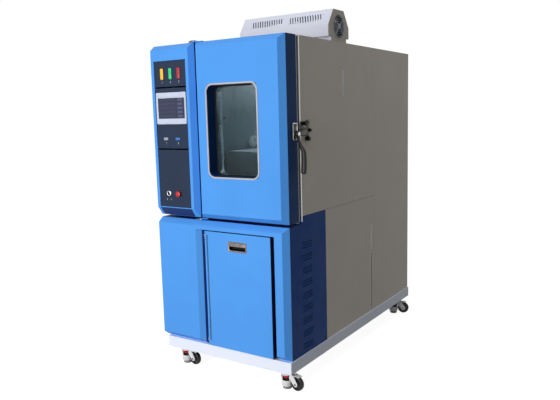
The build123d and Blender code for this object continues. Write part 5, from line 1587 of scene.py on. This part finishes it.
    def build(self) -> None:
        """Make head, wheel and foot."""
        self.head()
        self.axle()
        self.wheel()
        self.foot()


CASTORS = (
    Castor("front_left", (-344.0, -692.0), -8.0),
    Castor("front_right", (322.0, -692.0), -8.0),
    Castor("rear_left", (-344.0, 670.0), 15.0),
    Castor("rear_right", (322.0, 670.0), 20.0),
)


@dataclass
class RoofHousing(Assembly):
    """Roof hood over the blower motor, with an axial fan and its wire guard in the right end."""

    axis: Pair = (-215.0, 1819.0)
    ring_radii: tuple[float, ...] = (14.0, 26.0, 38.0, 50.0, 60.0)
    wire_r: float = 1.2
    spokes: int = 4
    hub_r: float = 22.0
    hub_start: float = 6.5
    tip_r: float = 53.5
    blades: int = 7
    chord: float = 13.0
    blade_thickness: float = 1.4
    root_pitch: float = 52.0
    pitch_fall: float = 24.0
    sweep_back: float = 0.35

    def dress(self) -> None:
        """Pale coat outside with painted shade on its right end, black moulding for the fan."""
        dress(HOOD, "motor_housing")
        dress(BLACK_PLASTIC, "exhaust_fan_frame")
        dress(ALUMINIUM, "blower_motor")

    def guard(self) -> None:
        """Wire rings, each a small circle carried round the axis, on radial wires."""
        place = (cad("motor_housing")[1, 0], *self.axis)
        wires = []
        for radius in self.ring_radii:
            ring = lathe(circle(self.wire_r, 8) + np.array([radius, 2.6]), 56)
            ring.wrap_u = True
            wires.append(ring)
        for index in range(self.spokes):
            angle = math.radians(45) + math.tau * index / self.spokes
            route = [(6.0, 4.2), (30.0, 4.2), (58.0, 4.2), (63.0, 0.5)]
            bar = [(r * math.cos(angle), r * math.sin(angle), rise) for r, rise in route]
            wires.append(sweep(smooth(bar, 4), circle(1.3, 8), (0.3, 0.2, 1.0)))
        piece("fan_guard", on(Side.RIGHT, place, *wires), ZINC, "cabinet")
        hub = lathe([(0, 6.0), (9, 5.8), (12, 4.6), (12.6, 2.4), (0, 2.4)])
        piece("guard_hub", on(Side.RIGHT, place, hub), PORT_GREY, "cabinet")

    def rotor(self) -> None:
        """Hub with a rounded nose; each blade's pitch falls from root to tip as it sweeps back."""
        node = "exhaust_fan_rotor"
        low, high = cad(node)
        length = high[0] - low[0]
        root, start = self.hub_r, self.hub_start
        hub = [(0, 0), (3, 0), (3, start), (root, start), (root, length - 3), (root - 3, length), (0, length)]
        grids = [lathe(hub, 40)]
        r = np.linspace(root - 1, self.tip_r, 8)[:, None]
        s = np.linspace(-1, 1, 9)[None, :]
        pitch = np.radians(self.root_pitch - self.pitch_fall * (r - root) / (self.tip_r - root))
        arc = s * self.chord * np.cos(pitch) / r
        depth = (start + length) / 2 + s * self.chord * np.sin(pitch) * 0.62 + 1.2 * (1 - s**2)
        for index in range(self.blades):
            angle = math.tau * index / self.blades + self.sweep_back * (r - root) / self.tip_r + arc
            face = np.stack([r * np.cos(angle), r * np.sin(angle), depth], -1)
            skin = np.concatenate([face, face[:, ::-1] - np.array([0, 0, self.blade_thickness])], axis=1)
            grids.append(Grid(skin, caps=True))
        rotor = on(Side.RIGHT, (low[0], *self.axis), *grids)
        piece("exhaust_rotor_blades", rotor, BLACK_PLASTIC, "exhaust_rotor", [node])

    def build(self) -> None:
        """Make guard and rotor."""
        self.guard()
        self.rotor()


@dataclass
class Chamber(Assembly):
    """Steel test space behind the window: shelf, cable port, air duct, blower wheel, heater and coil."""

    port: Pair = (-341.0, 1225.0)
    wall_x: float = -105.0

    def dress(self) -> None:
        """Brushed steel walls, bright wires, dull fins."""
        dress(STAINLESS, "chamber_liner")
        dress(STAINLESS_LONG, "air_duct")
        dress(FOAM, "chamber_insulation")
        dress(CHROME, "shelf")
        dress(ALUMINIUM, "blower_wheel", "evaporator_coil")
        dress(DARK_CHROME, "heater_element")

    def build(self) -> None:
        """Silicone stopper in the left wall: flange with a rolled rim, dished face and raised grip ring."""
        back, proud = cad("port_plug")[:, 0] - self.wall_x
        profile = [
            (0, proud - 9), (14, proud - 9), (16, proud - 8), (17, proud - 2), (19, proud), (24, proud - 0.5),
            (29, proud - 3), (31.5, proud - 7), (32, proud - 12), (31.5, 3), (30, 0.1), (24.6, 0.1),
            (24.6, back), (0, back),
        ]
        stopper = on(Side.RIGHT, (self.wall_x, *self.port), lathe(profile, 44))
        piece("port_stopper", stopper, SILICONE, "cabinet", ["port_plug"])


@dataclass
class MachineSpace(Assembly):
    """Refrigeration set behind the lower door: capsule, coil and fan, and the copper pipes between them."""

    pipe_r: float = 6.0

    def dress(self) -> None:
        """Black enamel capsule, aluminium coil, black fan."""
        dress(CAPSULE, "compressor")
        dress(ALUMINIUM, "condenser")
        dress(BLACK_PLASTIC, "condenser_fan")

    def build(self) -> None:
        """Two pipes, each a circle carried along a smooth curve."""
        capsule = cad("compressor")
        x, y, top = seat(capsule, Axis.Z, capsule[1, 2])
        left = cad("condenser")[0, 0]
        lines = [
            [
                (x - 60, y, top - 52), (x - 84, y, top - 14), (x - 92, y - 40, top + 60),
                (left + 20, -420, top + 110), (left - 14, -470, top + 120), (left - 16, -540, top + 110),
                (left + 1, -562, top + 108),
            ],
            [
                (x + 50, y + 20, top - 46), (x + 60, y + 26, top + 20), (x + 60, y + 40, top + 150),
                (x + 20, y + 60, 640), (x + 10, y + 60, 800), (x + 10, y + 60, 856),
            ],
        ]
        pipes = [sweep(smooth(line), circle(self.pipe_r), (0.31, 0.95, 0.11)) for line in lines]
        piece("copper_pipes", pipes, COPPER, "cabinet")


def main() -> None:
    """Build the studio and every sub-assembly in order."""
    logging.basicConfig(level=logging.INFO, format="%(name)s: %(message)s")
    Studio().build()
    parts = (Casing, ControlColumn, MainDoor, ServiceDoor, Latch, RoofHousing, Chamber, MachineSpace)
    for part in (kind() for kind in parts):
        part.dress()
        part.build()
        log.info("built %s", type(part).__name__)
    for castor in CASTORS:
        castor.build()
        log.info("built castor %s", castor.spot)


if __name__ == "__main__":
    main()
